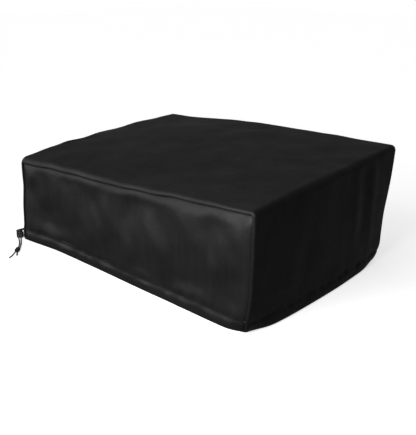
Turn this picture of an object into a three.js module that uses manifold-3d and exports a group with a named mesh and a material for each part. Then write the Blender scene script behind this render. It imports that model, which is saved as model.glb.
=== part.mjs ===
// A fabric dust cover with a drawstring hem, and the cord lock on the ends of its drawstring.
// Millimetres, +Z up. The front panel faces -Y and the cord lock is at the front left corner.
import * as THREE from "three";
import Module from "manifold-3d";

const wasm = await Module();
wasm.setup();

// ---------------------------------------------------------------- cover, overall
const CENTRE_X = -2.1; // added to every x, so that the cover's box is centred
const CENTRE_Y = -1.5;
const CLOTH = 1.2; // thickness of the cloth

// Heights of the top at its four corners and along its edges.
const TOP_FRONT = [[0, 179], [0.17, 186], [0.36, 190], [0.6, 196], [0.78, 205], [1, 213]];
const TOP_REAR = [[0, 206], [0.16, 210], [0.37, 221], [0.58, 226], [0.78, 229], [1, 231]];
const TOP_LEFT = [[0, 179], [0.17, 188], [0.4, 196], [0.76, 203], [1, 206]];
const TOP_RIGHT = [[0, 213], [0.5, 223], [1, 231]];
const CROWN = 4; // how far the middle of the top stands above its edges

// Half widths of the left and right sides against height, at the front and at the rear.
const LEFT_FRONT = [
  [0, 312], [5.5, 314], [17.5, 314], [23.5, 310.5], [30, 310], [72, 310], [127, 307], [180, 303],
];
const LEFT_REAR = [[0, 290], [95, 293], [184, 298], [210, 298]];
const RIGHT_FRONT = [[0, 303], [35, 305], [66, 309], [105, 312], [152, 315], [215, 315]];
const RIGHT_REAR = [[0, 288], [95, 290], [184, 297], [232, 299]];
const SIDE_BULGE = [8, 2]; // of both sides at mid depth, at the hem and at the top
const FRONT_Y = [-202.5, -207]; // front face at the hem and at the top
const REAR_Y = [204, 214];
const FRONT_BULGE = 2;
const REAR_BULGE = [4, 1.5];

// The drawstring pulls each corner of the hem: how far along X and Y, and over what length.
const PULL_HEIGHT = 45;
const PULL_REACH_X = 22;
const PULL_REACH_Y = 36;
const PULL_FRONT_LEFT = [0, 0];
const PULL_FRONT_RIGHT = [15, 12];
const PULL_REAR_RIGHT = [9, 9];
const PULL_REAR_LEFT = [9, 9];
const KICK = 10.5; // the front left corner of the hem is pushed forwards by this
const KICK_REACH = 75;
const KICK_HEIGHT = 120;

// Rolled edges where the wrap panel turns from a side to the top: front, middle, rear.
const LEFT_ROLL = [16, 16, 12];
const RIGHT_ROLL = [8, 13, 9];
// Radius with which the wrap panel turns into the seams: left side, top (left to right), right side.
const SEAM_ROLL_LEFT = 8;
const SEAM_ROLL_TOP = [12, 5];
const SEAM_ROLL_RIGHT = 4.5;
const SEAM_TUCK = 1.6; // how deep the cloth turns in at the seam
const GROOVE = 2; // how far the panel's rim lies behind the ridge beside it
const GROOVE_WIDE = 6;
const RIM_INSET = 2.6; // from the ridge to the panel's rim

// Hem: the folded cloth in section, from the raw edge inside to the outer ply.
// Each point is the distance inwards from the panel's face, and the height.
const HEM_TOP = 27;
const STITCH_HEIGHT = 23.7;
const HEM_FOLD = [
  [1.9, 27], [1.9, 23.6], [4.8, 20], [6.7, 15.5], [7.1, 11], [6.7, 5.5], [5.7, 2], [4.2, 0.57],
  [1.3, 0.558], [0.1, 2.2], [-0.7, 5.5], [-0.7, 11.5], [-0.7, 17.5], [0.3, STITCH_HEIGHT],
];
const INNER_PLY = 8; // this many points of HEM_FOLD are the inner ply
const HEM_BEND = 1.3; // how much the inner ply is cut short at a corner, for each mm it lies inwards
const PLY_CUT = 0.7; // and for each mm of the seam roll beside it

// Mesh steps.
const SIDE_STEPS = 7;
const ROLL_STEPS = 4;
const TOP_STEPS = 18;
const DEPTH_STEPS = 14;
const CROWDING = 0.6; // how much closer the steps are near a seam, 0 to 1

// ---------------------------------------------------------------- drawstring and its hardware
const CORD_R = 1.5;
const CORD_SIDES = 8;
const CORD_HEIGHT = 11;
const EYELET_Y = [-178, -164]; // front eyelet, rear eyelet
const EYELET_BORE_R = 2.3;
const EYELET_BARREL_R = 2.8;
const EYELET_HOLE_R = 3.1; // in the cloth
const EYELET_FLANGE_R = 5;
const EYELET_FLANGE = 0.8;
const WASHER_R = 4.6;
const WASHER = 0.6;

// Cord lock: it stands on the table, and the strands pass through it towards HEADING.
const LOCK_X = -323.5;
const LOCK_Y = -212.8;
const HEADING = (-32 * Math.PI) / 180;
const STRAND_GAP = 4.6; // between the middles of the two strands
const STRAND_HEIGHT = 7.6; // of the strands' axes in the lock
const BARREL_L = 14.4; // across the strands
const BARREL_W = 10; // along the strands
const BARREL_H = 11.8;
const BARREL_CORNER = 4.4;
const BARREL_BEVEL = 0.7;
const BARREL_FLOOR = 0.8;
const BORE_L = 11; // the plunger's bore
const BORE_W = 6.2;
const CORD_HOLE_R = 1.9;
const PLUNGER_CLEAR = 0.25;
const PLUNGER_TRAVEL = 2;
const PLUNGER_BAR = 1; // under the strands
const SLOT_CLEAR = 0.2; // between the plunger and a strand
const CAP_CLEAR = 0.2; // between the pressed cap and the barrel
// The cap: radius and height above its skirt, from its underside to its top.
const CAP_PROFILE = [
  [0, 0], [4.3, 0], [4.8, 0.4], [4.9, 1], [4.7, 2.1], [4, 3], [2.8, 3.6], [1.4, 3.9], [0, 4],
];
const SPRING_R = 2.1; // to the middle of the wire
const SPRING_WIRE_R = 0.22;
const SPRING_TURNS = 3.5;
const SPRING_GAP = 0.12; // to the floor and to the plunger
const SLIDE_RUN = 20; // straight length of the strands in front of the lock

// ---------------------------------------------------------------- small helpers
const lerp = (a, b, t) => a + (b - a) * t;
const clamp01 = (t) => Math.min(1, Math.max(0, t));

// Straight lines between [at, value] points, held flat past both ends.
function along(points, at) {
  if (at <= points[0][0]) return points[0][1];
  for (let i = 1; i < points.length; i++) {
    const [a, va] = points[i - 1];
    const [b, vb] = points[i];
    if (at <= b) return lerp(va, vb, (at - a) / (b - a));
  }
  return points[points.length - 1][1];
}

// A smooth curve through the values at 0, 0.5 and 1.
function through([a, b, c], t) {
  const k = Math.sin(Math.PI * t);
  return lerp(a, c, t) + (b - (a + c) / 2) * k;
}

const bell = (distance, reach) => Math.exp(-((distance / reach) ** 2));
const hemPull = (z) => clamp01(1 - z / PULL_HEIGHT) ** 2;

// Step k of n as a share from 0 to 1, crowded towards both ends.
const crowded = (k, n) => lerp(k / n, (1 - Math.cos((Math.PI * k) / n)) / 2, CROWDING);

const materials = new Map();
function material(colour, roughness, metalness = 0) {
  const key = [colour, roughness, metalness].join();
  if (!materials.has(key))
    materials.set(key, new THREE.MeshStandardMaterial({ color: colour, roughness, metalness }));
  return materials.get(key);
}

const CLOTH_LOOK = [0x1b1b1c, 0.8];
const TAPE_LOOK = [0x141415, 0.85];
const CORD_LOOK = [0x0e0e0f, 0.9];
const METAL_LOOK = [0x2a2a2c, 0.35, 1];
const PLASTIC_LOOK = [0x0c0c0d, 0.45];
const STEEL_LOOK = [0x9a9a9c, 0.3, 1];

const part = new THREE.Group();
part.name = "dust_cover";

function add(name, geometry, look) {
  const mesh = new THREE.Mesh(geometry, material(...look));
  mesh.name = name;
  part.add(mesh);
  return mesh;
}

// ---------------------------------------------------------------- solids
function toManifold(geometry) {
  const g = geometry.index ? geometry.toNonIndexed() : geometry;
  const p = g.getAttribute("position").array;
  const found = new Map();
  const places = [];
  const triangles = [];
  for (let i = 0; i < p.length; i += 3) {
    const key = [p[i], p[i + 1], p[i + 2]].map((v) => Math.round(v * 1e4)).join();
    if (!found.has(key)) {
      found.set(key, places.length / 3);
      places.push(p[i], p[i + 1], p[i + 2]);
    }
    triangles.push(found.get(key));
  }
  const kept = [];
  for (let i = 0; i < triangles.length; i += 3) {
    const [a, b, c] = triangles.slice(i, i + 3);
    if (a !== b && b !== c && c !== a) kept.push(a, b, c);
  }
  return new wasm.Manifold(
    new wasm.Mesh({
      numProp: 3,
      vertProperties: new Float32Array(places),
      triVerts: new Uint32Array(kept),
    }),
  );
}

function fromManifold(solid) {
  const m = solid.getMesh();
  const places = new Float32Array(m.numVert * 3);
  for (let i = 0; i < m.numVert; i++)
    places.set(m.vertProperties.subarray(i * m.numProp, i * m.numProp + 3), i * 3);
  return new THREE.BufferGeometry()
    .setAttribute("position", new THREE.BufferAttribute(places, 3))
    .setIndex(new THREE.BufferAttribute(m.triVerts, 1));
}

// A closed sheet of the given thickness about a grid of points. Faces point out.
function thickSheet(grid, thickness) {
  const rows = grid.length;
  const columns = grid[0].length;
  const at = (i, j) => grid[Math.min(rows - 1, Math.max(0, i))][Math.min(columns - 1, Math.max(0, j))];
  const places = [];
  for (const side of [0.5, -0.5]) {
    for (let i = 0; i < rows; i++) {
      for (let j = 0; j < columns; j++) {
        const down = at(i + 1, j).clone().sub(at(i - 1, j));
        const across = at(i, j + 1).clone().sub(at(i, j - 1));
        const normal = down.cross(across).normalize();
        const place = at(i, j).clone().addScaledVector(normal, side * thickness);
        places.push(place.x, place.y, Math.max(0, place.z)); // the hem's foot is flat
      }
    }
  }
  const size = rows * columns;
  const index = [];
  const quad = (a, b, c, d) => index.push(a, b, c, a, c, d);
  for (let i = 0; i + 1 < rows; i++) {
    for (let j = 0; j + 1 < columns; j++) {
      const a = i * columns + j;
      quad(a, a + columns, a + columns + 1, a + 1);
      quad(a + size, a + size + 1, a + size + columns + 1, a + size + columns);
    }
  }
  const rim = [];
  for (let j = 0; j < columns; j++) rim.push(j);
  for (let i = 1; i < rows; i++) rim.push(i * columns + columns - 1);
  for (let j = columns - 2; j >= 0; j--) rim.push((rows - 1) * columns + j);
  for (let i = rows - 2; i > 0; i--) rim.push(i * columns);
  for (let k = 0; k < rim.length; k++) {
    const a = rim[k];
    const b = rim[(k + 1) % rim.length];
    quad(a, b, b + size, a + size);
  }
  const geometry = new THREE.BufferGeometry()
    .setAttribute("position", new THREE.Float32BufferAttribute(places, 3))
    .setIndex(index);
  const solid = toManifold(geometry);
  if (solid.volume() > 0) return solid;
  for (let i = 0; i < index.length; i += 3) [index[i + 1], index[i + 2]] = [index[i + 2], index[i + 1]];
  return toManifold(geometry.setIndex(index));
}

// A bar of one flat outline carried along a list of frames, closed at both ends.
function bar(frames, outline) {
  const n = outline.length;
  const places = [];
  for (const { at, side, up } of frames) {
    for (const [s, u] of outline)
      places.push(...at.clone().addScaledVector(side, s).addScaledVector(up, u));
  }
  const index = [];
  for (let k = 0; k + 1 < frames.length; k++) {
    for (let i = 0; i < n; i++) {
      const a = k * n + i;
      const b = k * n + ((i + 1) % n);
      index.push(a, b, b + n, a, b + n, a + n);
    }
  }
  const end = (frames.length - 1) * n;
  for (let i = 1; i + 1 < n; i++) {
    index.push(0, i + 1, i);
    index.push(end, end + i, end + i + 1);
  }
  const geometry = new THREE.BufferGeometry()
    .setAttribute("position", new THREE.Float32BufferAttribute(places, 3))
    .setIndex(index);
  const solid = toManifold(geometry);
  if (solid.volume() > 0) return solid;
  for (let i = 0; i < index.length; i += 3) [index[i + 1], index[i + 2]] = [index[i + 2], index[i + 1]];
  return toManifold(geometry.setIndex(index));
}

// A round cord through the points.
function cord(points, radius, steps, sides) {
  const curve = new THREE.CatmullRomCurve3(points, false, "centripetal");
  const outline = new THREE.Shape();
  for (let i = 0; i < sides; i++) {
    const a = (2 * Math.PI * i) / sides;
    const [x, y] = [radius * Math.cos(a), radius * Math.sin(a)];
    if (i) outline.lineTo(x, y);
    else outline.moveTo(x, y);
  }
  outline.closePath();
  return new THREE.ExtrudeGeometry(outline, { steps, extrudePath: curve, bevelEnabled: false });
}

// A cylinder from one point to another.
function rod(from, to, radius, sides) {
  const way = to.clone().sub(from);
  const turn = new THREE.Quaternion().setFromUnitVectors(
    new THREE.Vector3(0, 1, 0),
    way.clone().normalize(),
  );
  return new THREE.CylinderGeometry(radius, radius, way.length(), sides)
    .applyQuaternion(turn)
    .translate(...from.clone().lerp(to, 0.5));
}

// ---------------------------------------------------------------- shape of the cover
// How far from the middle the left (-1) or right (+1) side is. v runs from front to rear.
function sideX(side, v, z) {
  const front = along(side < 0 ? LEFT_FRONT : RIGHT_FRONT, z);
  const rear = along(side < 0 ? LEFT_REAR : RIGHT_REAR, z);
  const high = clamp01(z / TOP_RIGHT[1][1]);
  const bulge = lerp(SIDE_BULGE[0], SIDE_BULGE[1], high) * Math.sin(Math.PI * v);
  const depth = REAR_Y[0] - FRONT_Y[0];
  const [pullFront] = side < 0 ? PULL_FRONT_LEFT : PULL_FRONT_RIGHT;
  const [pullRear] = side < 0 ? PULL_REAR_LEFT : PULL_REAR_RIGHT;
  const pull =
    pullFront * bell(v * depth, PULL_REACH_Y) + pullRear * bell((1 - v) * depth, PULL_REACH_Y);
  return CENTRE_X + side * (lerp(front, rear, v) + bulge - pull * hemPull(z));
}

// u runs from the left side to the right.
function frontY(u, z) {
  const high = clamp01(z / lerp(TOP_FRONT[0][1], TOP_RIGHT[0][1], u));
  const width = LEFT_FRONT[0][1] + RIGHT_FRONT[0][1];
  const bulge = FRONT_BULGE * Math.sin(Math.PI * high) * Math.sin(Math.PI * u);
  const kick = KICK * bell(u * width, KICK_REACH) * clamp01(1 - z / KICK_HEIGHT);
  const pull =
    PULL_FRONT_LEFT[1] * bell(u * width, PULL_REACH_X) +
    PULL_FRONT_RIGHT[1] * bell((1 - u) * width, PULL_REACH_X);
  return CENTRE_Y + lerp(FRONT_Y[0], FRONT_Y[1], high) - bulge - kick + pull * hemPull(z);
}

function rearY(u, z) {
  const high = clamp01(z / lerp(TOP_REAR[0][1], TOP_RIGHT[2][1], u));
  const width = LEFT_REAR[0][1] + RIGHT_REAR[0][1];
  const bulge = lerp(REAR_BULGE[0], REAR_BULGE[1], high) * Math.sin(Math.PI * u);
  const pull =
    PULL_REAR_LEFT[1] * bell(u * width, PULL_REACH_X) +
    PULL_REAR_RIGHT[1] * bell((1 - u) * width, PULL_REACH_X);
  return CENTRE_Y + lerp(REAR_Y[0], REAR_Y[1], high) + bulge - pull * hemPull(z);
}

function topZ(u, v) {
  const [fl, fr] = [TOP_LEFT[0][1], TOP_RIGHT[0][1]];
  const [rl, rr] = [TOP_LEFT[TOP_LEFT.length - 1][1], TOP_RIGHT[TOP_RIGHT.length - 1][1]];
  const edges =
    lerp(along(TOP_FRONT, u), along(TOP_REAR, u), v) + lerp(along(TOP_LEFT, v), along(TOP_RIGHT, v), u);
  const corners = lerp(lerp(fl, fr, u), lerp(rl, rr, u), v);
  return edges - corners + CROWN * Math.sin(Math.PI * u) * Math.sin(Math.PI * v);
}

// Stations round the wrap panel's section, from the left hem over the top to the right hem.
const STATIONS = [];
HEM_FOLD.forEach(([o, z], k) => STATIONS.push({ kind: "hem", side: -1, o, z, k }));
for (let k = 0; k <= SIDE_STEPS; k++) STATIONS.push({ kind: "side", side: -1, t: k / SIDE_STEPS });
for (let k = 1; k < ROLL_STEPS; k++) STATIONS.push({ kind: "roll", side: -1, t: k / ROLL_STEPS });
for (let k = 0; k <= TOP_STEPS; k++) STATIONS.push({ kind: "top", t: crowded(k, TOP_STEPS) });
for (let k = ROLL_STEPS - 1; k > 0; k--) STATIONS.push({ kind: "roll", side: 1, t: k / ROLL_STEPS });
for (let k = SIDE_STEPS; k >= 0; k--) STATIONS.push({ kind: "side", side: 1, t: k / SIDE_STEPS });
HEM_FOLD.forEach(([o, z], k) =>
  STATIONS.splice(STATIONS.length - k, 0, { kind: "hem", side: 1, o, z, k }),
);

// A station's point in the section at v, as [x, z].
function stationPoint(station, v) {
  const { kind, side, t } = station;
  if (kind === "hem") return [sideX(side, v, station.z) - side * station.o, station.z];
  if (kind === "top") {
    const left = rollCentre(-1, v);
    const right = rollCentre(1, v);
    return [lerp(left.x, right.x, t), topZ(t, v)];
  }
  const roll = rollCentre(side, v);
  if (kind === "side") {
    const z = lerp(HEM_TOP, roll.z, t);
    return [sideX(side, v, z), z];
  }
  const a = (t * Math.PI) / 2;
  return [roll.x + side * roll.r * Math.cos(a), roll.z + roll.r * Math.sin(a)];
}

function rollCentre(side, v) {
  const r = through(side < 0 ? LEFT_ROLL : RIGHT_ROLL, v);
  const z = topZ(side < 0 ? 0 : 1, v) - r;
  return { x: sideX(side, v, z) - side * r, z, r };
}

// The way into the cover at a station, as [x, z].
function stationInwards(station, v) {
  if (station.kind === "hem") return [-station.side, 0];
  const k = STATIONS.indexOf(station);
  const [ax, az] = stationPoint(STATIONS[k - 1], v);
  const [bx, bz] = stationPoint(STATIONS[k + 1], v);
  const length = Math.hypot(bx - ax, bz - az);
  return [(bz - az) / length, -(bx - ax) / length];
}

// Where the front or rear face is at a station, and how wide the seam roll is there.
function stationFace(station, rear) {
  const { kind, side, t } = station;
  const u = kind === "top" ? t : side < 0 ? 0 : 1;
  const [, z] = stationPoint(station, rear ? 1 : 0);
  return rear ? rearY(u, z) : frontY(u, z);
}

function seamRoll(station) {
  const { kind, side, t } = station;
  if (kind === "top") return lerp(SEAM_ROLL_TOP[0], SEAM_ROLL_TOP[1], t);
  const own = side < 0 ? SEAM_ROLL_LEFT : SEAM_ROLL_RIGHT;
  if (kind !== "roll") return own;
  return lerp(own, SEAM_ROLL_TOP[side < 0 ? 0 : 1], t);
}

// A point of the wrap panel: y is measured from the front face (rear false) or from the rear face.
function wrapPoint(station, rear, behind, inset) {
  const front = stationFace(station, false);
  const back = stationFace(station, true);
  const y = rear ? back - behind : front + behind;
  const v = clamp01((y - front) / (back - front));
  const [x, z] = stationPoint(station, v);
  const [nx, nz] = stationInwards(station, v);
  return new THREE.Vector3(x + inset * nx, y, z + inset * nz);
}

// ---------------------------------------------------------------- wrap panel
// The turned border at a seam: how far behind the face, and how far inwards, for a roll radius of 1.
const BORDER_ANGLES = [90, 60, 30, 0].map((a) => (a * Math.PI) / 180);

// The inner ply of the hem stops short of the seam roll, and only the outer ply turns with it.
const turned = (station) =>
  station.kind !== "hem" ? 1 : clamp01((station.k - INNER_PLY + 1) / 2);

function wrapRow(station) {
  const r = seamRoll(station);
  const turn = turned(station);
  const short = (1 - turn) * (r * PLY_CUT + Math.max(0, station.o ?? 0) * HEM_BEND);
  const border = (rear) => [
    wrapPoint(station, rear, lerp(0, SEAM_TUCK, turn) + short, (r + CLOTH) * turn),
    ...BORDER_ANGLES.map((a, k) => {
      const behind = lerp((k + 1) * CLOTH, r * (1 - Math.sin(a)), turn);
      return wrapPoint(station, rear, behind + short, r * (1 - Math.cos(a)) * turn);
    }),
  ];
  const row = border(false);
  const front = stationFace(station, false) + r + short;
  const back = stationFace(station, true) - r - short;
  for (let k = 1; k < DEPTH_STEPS; k++) {
    const behind = lerp(front, back, crowded(k, DEPTH_STEPS)) - stationFace(station, false);
    row.push(wrapPoint(station, false, behind, 0));
  }
  row.push(...border(true).reverse());
  return row;
}

const wrapGrid = STATIONS.map(wrapRow);

// The point of a row of the wrap panel at y.
function onRow(row, y) {
  const j = row.findIndex((p, k) => k > 0 && p.y > row[k - 1].y && p.y >= y);
  return row[j - 1].clone().lerp(row[j], (y - row[j - 1].y) / (row[j].y - row[j - 1].y));
}

// The outer ply of the left hem at y, at the cord's height: a point on it and the way in.
function leftPly(y) {
  const [low, high] = [INNER_PLY + 2, INNER_PLY + 4].map((k) => wrapGrid[k]);
  const up = onRow(high, y).sub(onRow(low, y));
  const ahead = onRow(low, y).sub(onRow(low, y - 2));
  const inwards = ahead.cross(up).normalize();
  if (inwards.x < 0) inwards.negate();
  const share = (CORD_HEIGHT - low[0].z) / (high[0].z - low[0].z);
  return { at: onRow(low, y).lerp(onRow(high, y), share), inwards };
}

const eyelets = EYELET_Y.map(leftPly);

let wrap = thickSheet(wrapGrid, CLOTH);
for (const { at, inwards } of eyelets) {
  const from = at.clone().addScaledVector(inwards, -4);
  const to = at.clone().addScaledVector(inwards, 2);
  wrap = wrap.subtract(toManifold(rod(from, to, EYELET_HOLE_R, 20)));
}
add("wrap_panel", fromManifold(wrap), CLOTH_LOOK);

// ---------------------------------------------------------------- front and rear panels
// The stations that a panel meets, split at the middle of each rolled corner.
const firstSide = HEM_FOLD.length;
const halfRoll = ROLL_STEPS / 2;
const cornerLeft = firstSide + SIDE_STEPS + halfRoll;
const cornerRight = STATIONS.length - 1 - cornerLeft;

// The rim of the front or rear panel beside a station of the wrap panel.
function rimPoint(station, rear) {
  return wrapPoint(station, rear, 0, seamRoll(station) + RIM_INSET);
}

// How far the panel lies behind its face, this far from its rim.
const grooveAt = (distance) => GROOVE * (1 - clamp01(distance / GROOVE_WIDE)) ** 2;

function endPanel(rear) {
  const left = STATIONS.slice(firstSide, cornerLeft + 1).map((s) => rimPoint(s, rear));
  const right = STATIONS.slice(cornerRight, STATIONS.length - firstSide)
    .reverse()
    .map((s) => rimPoint(s, rear));
  const top = STATIONS.slice(cornerLeft, cornerRight + 1).map((s) => rimPoint(s, rear));
  const rows = left.length;
  const columns = top.length;
  const share = top.map((p) => (p.x - top[0].x) / (top[columns - 1].x - top[0].x));
  const v = rear ? 1 : 0;
  const face = (x, z) => {
    const u = clamp01((x - sideX(-1, v, z)) / (sideX(1, v, z) - sideX(-1, v, z)));
    return rear ? rearY(u, z) : frontY(u, z);
  };
  const sign = rear ? -1 : 1;
  const grid = [];
  HEM_FOLD.forEach(([o, z], k) => {
    const rim = { kind: "hem", o: 0, z, k };
    const short = (1 - turned(rim)) * Math.max(0, o) * HEM_BEND;
    const a = rimPoint({ ...rim, side: -1 }, rear).x + short;
    const b = rimPoint({ ...rim, side: 1 }, rear).x - short;
    grid.push(
      share.map((u) => {
        const x = lerp(a, b, u);
        const groove = grooveAt(Math.min(x - a, b - x)) * turned(rim);
        return new THREE.Vector3(x, face(x, z) + sign * (o + groove), z);
      }),
    );
  });
  const high = left.map((p) => (p.z - left[0].z) / (left[rows - 1].z - left[0].z));
  for (let i = 0; i < rows; i++) {
    const row = share.map((u, j) => {
      const x = lerp(left[i].x, right[i].x, u);
      const z = lerp(left[i].z, right[i].z, u);
      const cornerZ = lerp(left[rows - 1].z, right[rows - 1].z, u);
      return [x, z + (top[j].z - cornerZ) * high[i]];
    });
    grid.push(
      row.map(([x, z], j) => {
        const rim = Math.min(x - left[i].x, right[i].x - x, top[j].z - z);
        return new THREE.Vector3(x, face(x, z) + sign * grooveAt(rim), z);
      }),
    );
  }
  return grid;
}

const frontGrid = endPanel(false);
const rearGrid = endPanel(true);
add("front_panel", fromManifold(thickSheet(frontGrid, CLOTH)), CLOTH_LOOK);
add("rear_panel", fromManifold(thickSheet(rearGrid, CLOTH)), CLOTH_LOOK);

// ---------------------------------------------------------------- seam bindings
const BINDING_DEEP = 10; // how far it reaches into the cover
const BINDING_THICK = 2.4;
const BINDING_START = 4.2; // behind the face
const BINDING_INSET = 1.4; // past the rim of the panel, inwards
const BINDING_FOOT = 32; // height of its lower ends

function binding(rear) {
  const path = STATIONS.slice(firstSide, STATIONS.length - firstSide);
  const frames = path.map((station) => {
    const inset = seamRoll(station) + RIM_INSET + BINDING_INSET;
    const at = wrapPoint(station, rear, BINDING_START, inset);
    if (at.z < BINDING_FOOT) at.z = BINDING_FOOT;
    const [nx, nz] = stationInwards(station, rear ? 1 : 0);
    const side = new THREE.Vector3(nx, 0, nz);
    return { at, side, up: new THREE.Vector3(0, rear ? -1 : 1, 0) };
  });
  const w = BINDING_THICK;
  const d = BINDING_DEEP;
  const c = 0.7;
  return bar(frames, [[0, 0], [w, 0], [w, d - c], [w - c, d], [c, d], [0, d - c]]);
}

add("front_seam_binding", fromManifold(binding(false)), TAPE_LOOK);
add("rear_seam_binding", fromManifold(binding(true)), TAPE_LOOK);

// ---------------------------------------------------------------- drawstring in the hem
const TURN = 10; // how far from a corner the cord starts to round it
// How far inwards of each corner it passes, along X and along Y.
const CORNER_CUTS = [2.3, 4.6, 4.6, 5.2];
const HELD_END = 3.6; // from an eyelet's axis to where its free strand starts
const INSIDE_ROW = 4; // rows of a panel beside the cord: inner ply, outer ply
const OUTSIDE_ROW = 11;

// Points midway between the two plies of a hem, given as two rows of a panel's grid.
const between = (inner, outer) => inner.map((p, j) => p.clone().lerp(outer[j], 0.5).setZ(CORD_HEIGHT));
const endRun = (grid) => between(grid[INSIDE_ROW], grid[OUTSIDE_ROW]);
const last = STATIONS.length - 1;
const border = BORDER_ANGLES.length + 1;
const sideRun = (inner, outer) => between(wrapGrid[inner], wrapGrid[outer]).slice(border, -border);
const frontRun = endRun(frontGrid);
const rearRun = endRun(rearGrid).reverse();
const rightRun = sideRun(last - INSIDE_ROW, last - OUTSIDE_ROW);
const leftRun = sideRun(INSIDE_ROW, OUTSIDE_ROW).reverse();
const leftCordX = (y) => onRow([...leftRun].reverse(), y).x;

const corners = [
  new THREE.Vector3(leftRun[leftRun.length - 1].x, frontRun[0].y, CORD_HEIGHT),
  new THREE.Vector3(rightRun[0].x, frontRun[frontRun.length - 1].y, CORD_HEIGHT),
  new THREE.Vector3(rightRun[rightRun.length - 1].x, rearRun[0].y, CORD_HEIGHT),
  new THREE.Vector3(leftRun[0].x, rearRun[rearRun.length - 1].y, CORD_HEIGHT),
];
const inwardsOf = (corner, k) => {
  const cut = -CORNER_CUTS[k];
  return corner.clone().add(new THREE.Vector3(cut * Math.sign(corner.x), cut * Math.sign(corner.y), 0));
};
const clear = (run) =>
  run.filter((p) => corners.every((c) => Math.max(Math.abs(p.x - c.x), Math.abs(p.y - c.y)) > TURN));
const [mouthFront, mouthRear] = EYELET_Y;
const heldFront = new THREE.Vector3(leftCordX(mouthFront - HELD_END), mouthFront - HELD_END, CORD_HEIGHT);
const heldRear = new THREE.Vector3(leftCordX(mouthRear + HELD_END), mouthRear + HELD_END, CORD_HEIGHT);
const route = [
  heldFront,
  ...clear(leftRun).filter((p) => p.y < mouthFront - 2 * HELD_END),
  inwardsOf(corners[0], 0),
  ...clear(frontRun),
  inwardsOf(corners[1], 1),
  ...clear(rightRun),
  inwardsOf(corners[2], 2),
  ...clear(rearRun),
  inwardsOf(corners[3], 3),
  ...clear(leftRun).filter((p) => p.y > mouthRear + 2 * HELD_END),
  heldRear,
];
const HELD_STEPS = 150;
add("drawstring", cord(route, CORD_R, HELD_STEPS, CORD_SIDES), CORD_LOOK);

// ---------------------------------------------------------------- eyelets
function ring(profile, sides) {
  const points = profile.map(([r, h]) => new THREE.Vector2(r, h));
  points.push(points[0].clone());
  return toManifold(new THREE.LatheGeometry(points, sides));
}

const EYELET_GAP = 0.5; // from the cloth
eyelets.forEach(({ at, inwards }, k) => {
  const name = k ? "eyelet_rear" : "eyelet_front";
  const outside = -CLOTH / 2 - EYELET_GAP;
  const inside = CLOTH / 2 + EYELET_GAP;
  const turn = new THREE.Quaternion().setFromUnitVectors(new THREE.Vector3(0, 1, 0), inwards);
  const place = (solid) => fromManifold(solid).applyQuaternion(turn).translate(...at);
  const eyelet = ring(
    [
      [EYELET_BORE_R, outside - 0.5], [EYELET_BORE_R + 0.7, outside - EYELET_FLANGE],
      [EYELET_FLANGE_R - 0.9, outside - EYELET_FLANGE], [EYELET_FLANGE_R, outside - 0.25],
      [EYELET_FLANGE_R, outside], [EYELET_BARREL_R, outside], [EYELET_BARREL_R, inside + WASHER],
      [EYELET_BORE_R, inside + WASHER],
    ],
    24,
  );
  add(name, place(eyelet), METAL_LOOK);
  const washer = ring(
    [
      [EYELET_BARREL_R + 0.3, inside], [WASHER_R, inside], [WASHER_R, inside + WASHER - 0.2],
      [WASHER_R - 0.3, inside + WASHER], [EYELET_BARREL_R + 0.3, inside + WASHER],
    ],
    24,
  );
  add(name + "_washer", place(washer), METAL_LOOK);
});

// ---------------------------------------------------------------- free ends of the drawstring
const heading = new THREE.Vector3(Math.cos(HEADING), Math.sin(HEADING), 0);
const leftwards = new THREE.Vector3(-Math.sin(HEADING), Math.cos(HEADING), 0);
const lockAt = new THREE.Vector3(LOCK_X + CENTRE_X, LOCK_Y + CENTRE_Y, 0);
const onTable = ([ahead, left, height]) =>
  lockAt.clone().addScaledVector(heading, ahead).addScaledVector(leftwards, left).setZ(height);

// The two strands: distance ahead of the lock, drift of the pair to the left, height, and how much
// of STRAND_GAP is between them.
const CLOSE = 0.72;
const RUN = [
  [-12, 0, STRAND_HEIGHT, 1], [-8, 0, STRAND_HEIGHT, 1], [0, 0, STRAND_HEIGHT, 1],
  [9, 0, STRAND_HEIGHT, 1], [SLIDE_RUN + 6, 0, STRAND_HEIGHT, 1], [36, 0.3, 6.6, 0.84],
  [46, 0.3, 4.6, CLOSE], [56, -0.7, 3.1, CLOSE], [66, -1.9, 3.3, CLOSE], [75.6, -2.9, 4.9, CLOSE],
];
const STRAND_STEPS = 70;

function strand(which) {
  const { at, inwards } = eyelets[which];
  const out = which ? -1 : 1; // the rear strand lies on the outer side
  const across = (out * STRAND_GAP) / 2;
  const through = (depth, forwards = 0) =>
    at.clone().addScaledVector(inwards, depth).add(new THREE.Vector3(0, forwards, 0));
  const reach = which ? 13 : 7;
  const heldY = at.y - out * (HELD_END - 0.8);
  return [
    new THREE.Vector3(leftCordX(heldY), heldY, CORD_HEIGHT),
    through(3.1, -out * 1.1),
    through(1.6),
    through(-2),
    through(-6),
    through(-7 - reach * 0.6, -1.5).setZ(CORD_HEIGHT - 0.4),
    through(-8 - reach, -9).setZ(CORD_HEIGHT - 1.4),
    onTable([-20, across * 2.2, STRAND_HEIGHT + 1]),
    ...RUN.map(([ahead, drift, height, gap]) => onTable([ahead, across * gap + drift, height])),
  ];
}
add("strand_front", cord(strand(0), CORD_R, STRAND_STEPS, CORD_SIDES), CORD_LOOK);
add("strand_rear", cord(strand(1), CORD_R, STRAND_STEPS, CORD_SIDES), CORD_LOOK);

// Plain outside of the overhand knot: radius, and distance along it.
const KNOT_PROFILE = [
  [0, 0], [3, 0], [4.6, 1.5], [5.3, 4], [4.7, 6.2], [4.5, 7], [4.7, 7.8], [5.3, 10], [4.6, 12.5],
  [3, 14], [0, 14],
];
const KNOT_LENGTH = 14;
const KNOT_GAP = 0.3; // to the strands and to the tails
const KNOT_START = [76.8, -3, 5.4];
const KNOT_TURN = -0.3; // from HEADING

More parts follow.
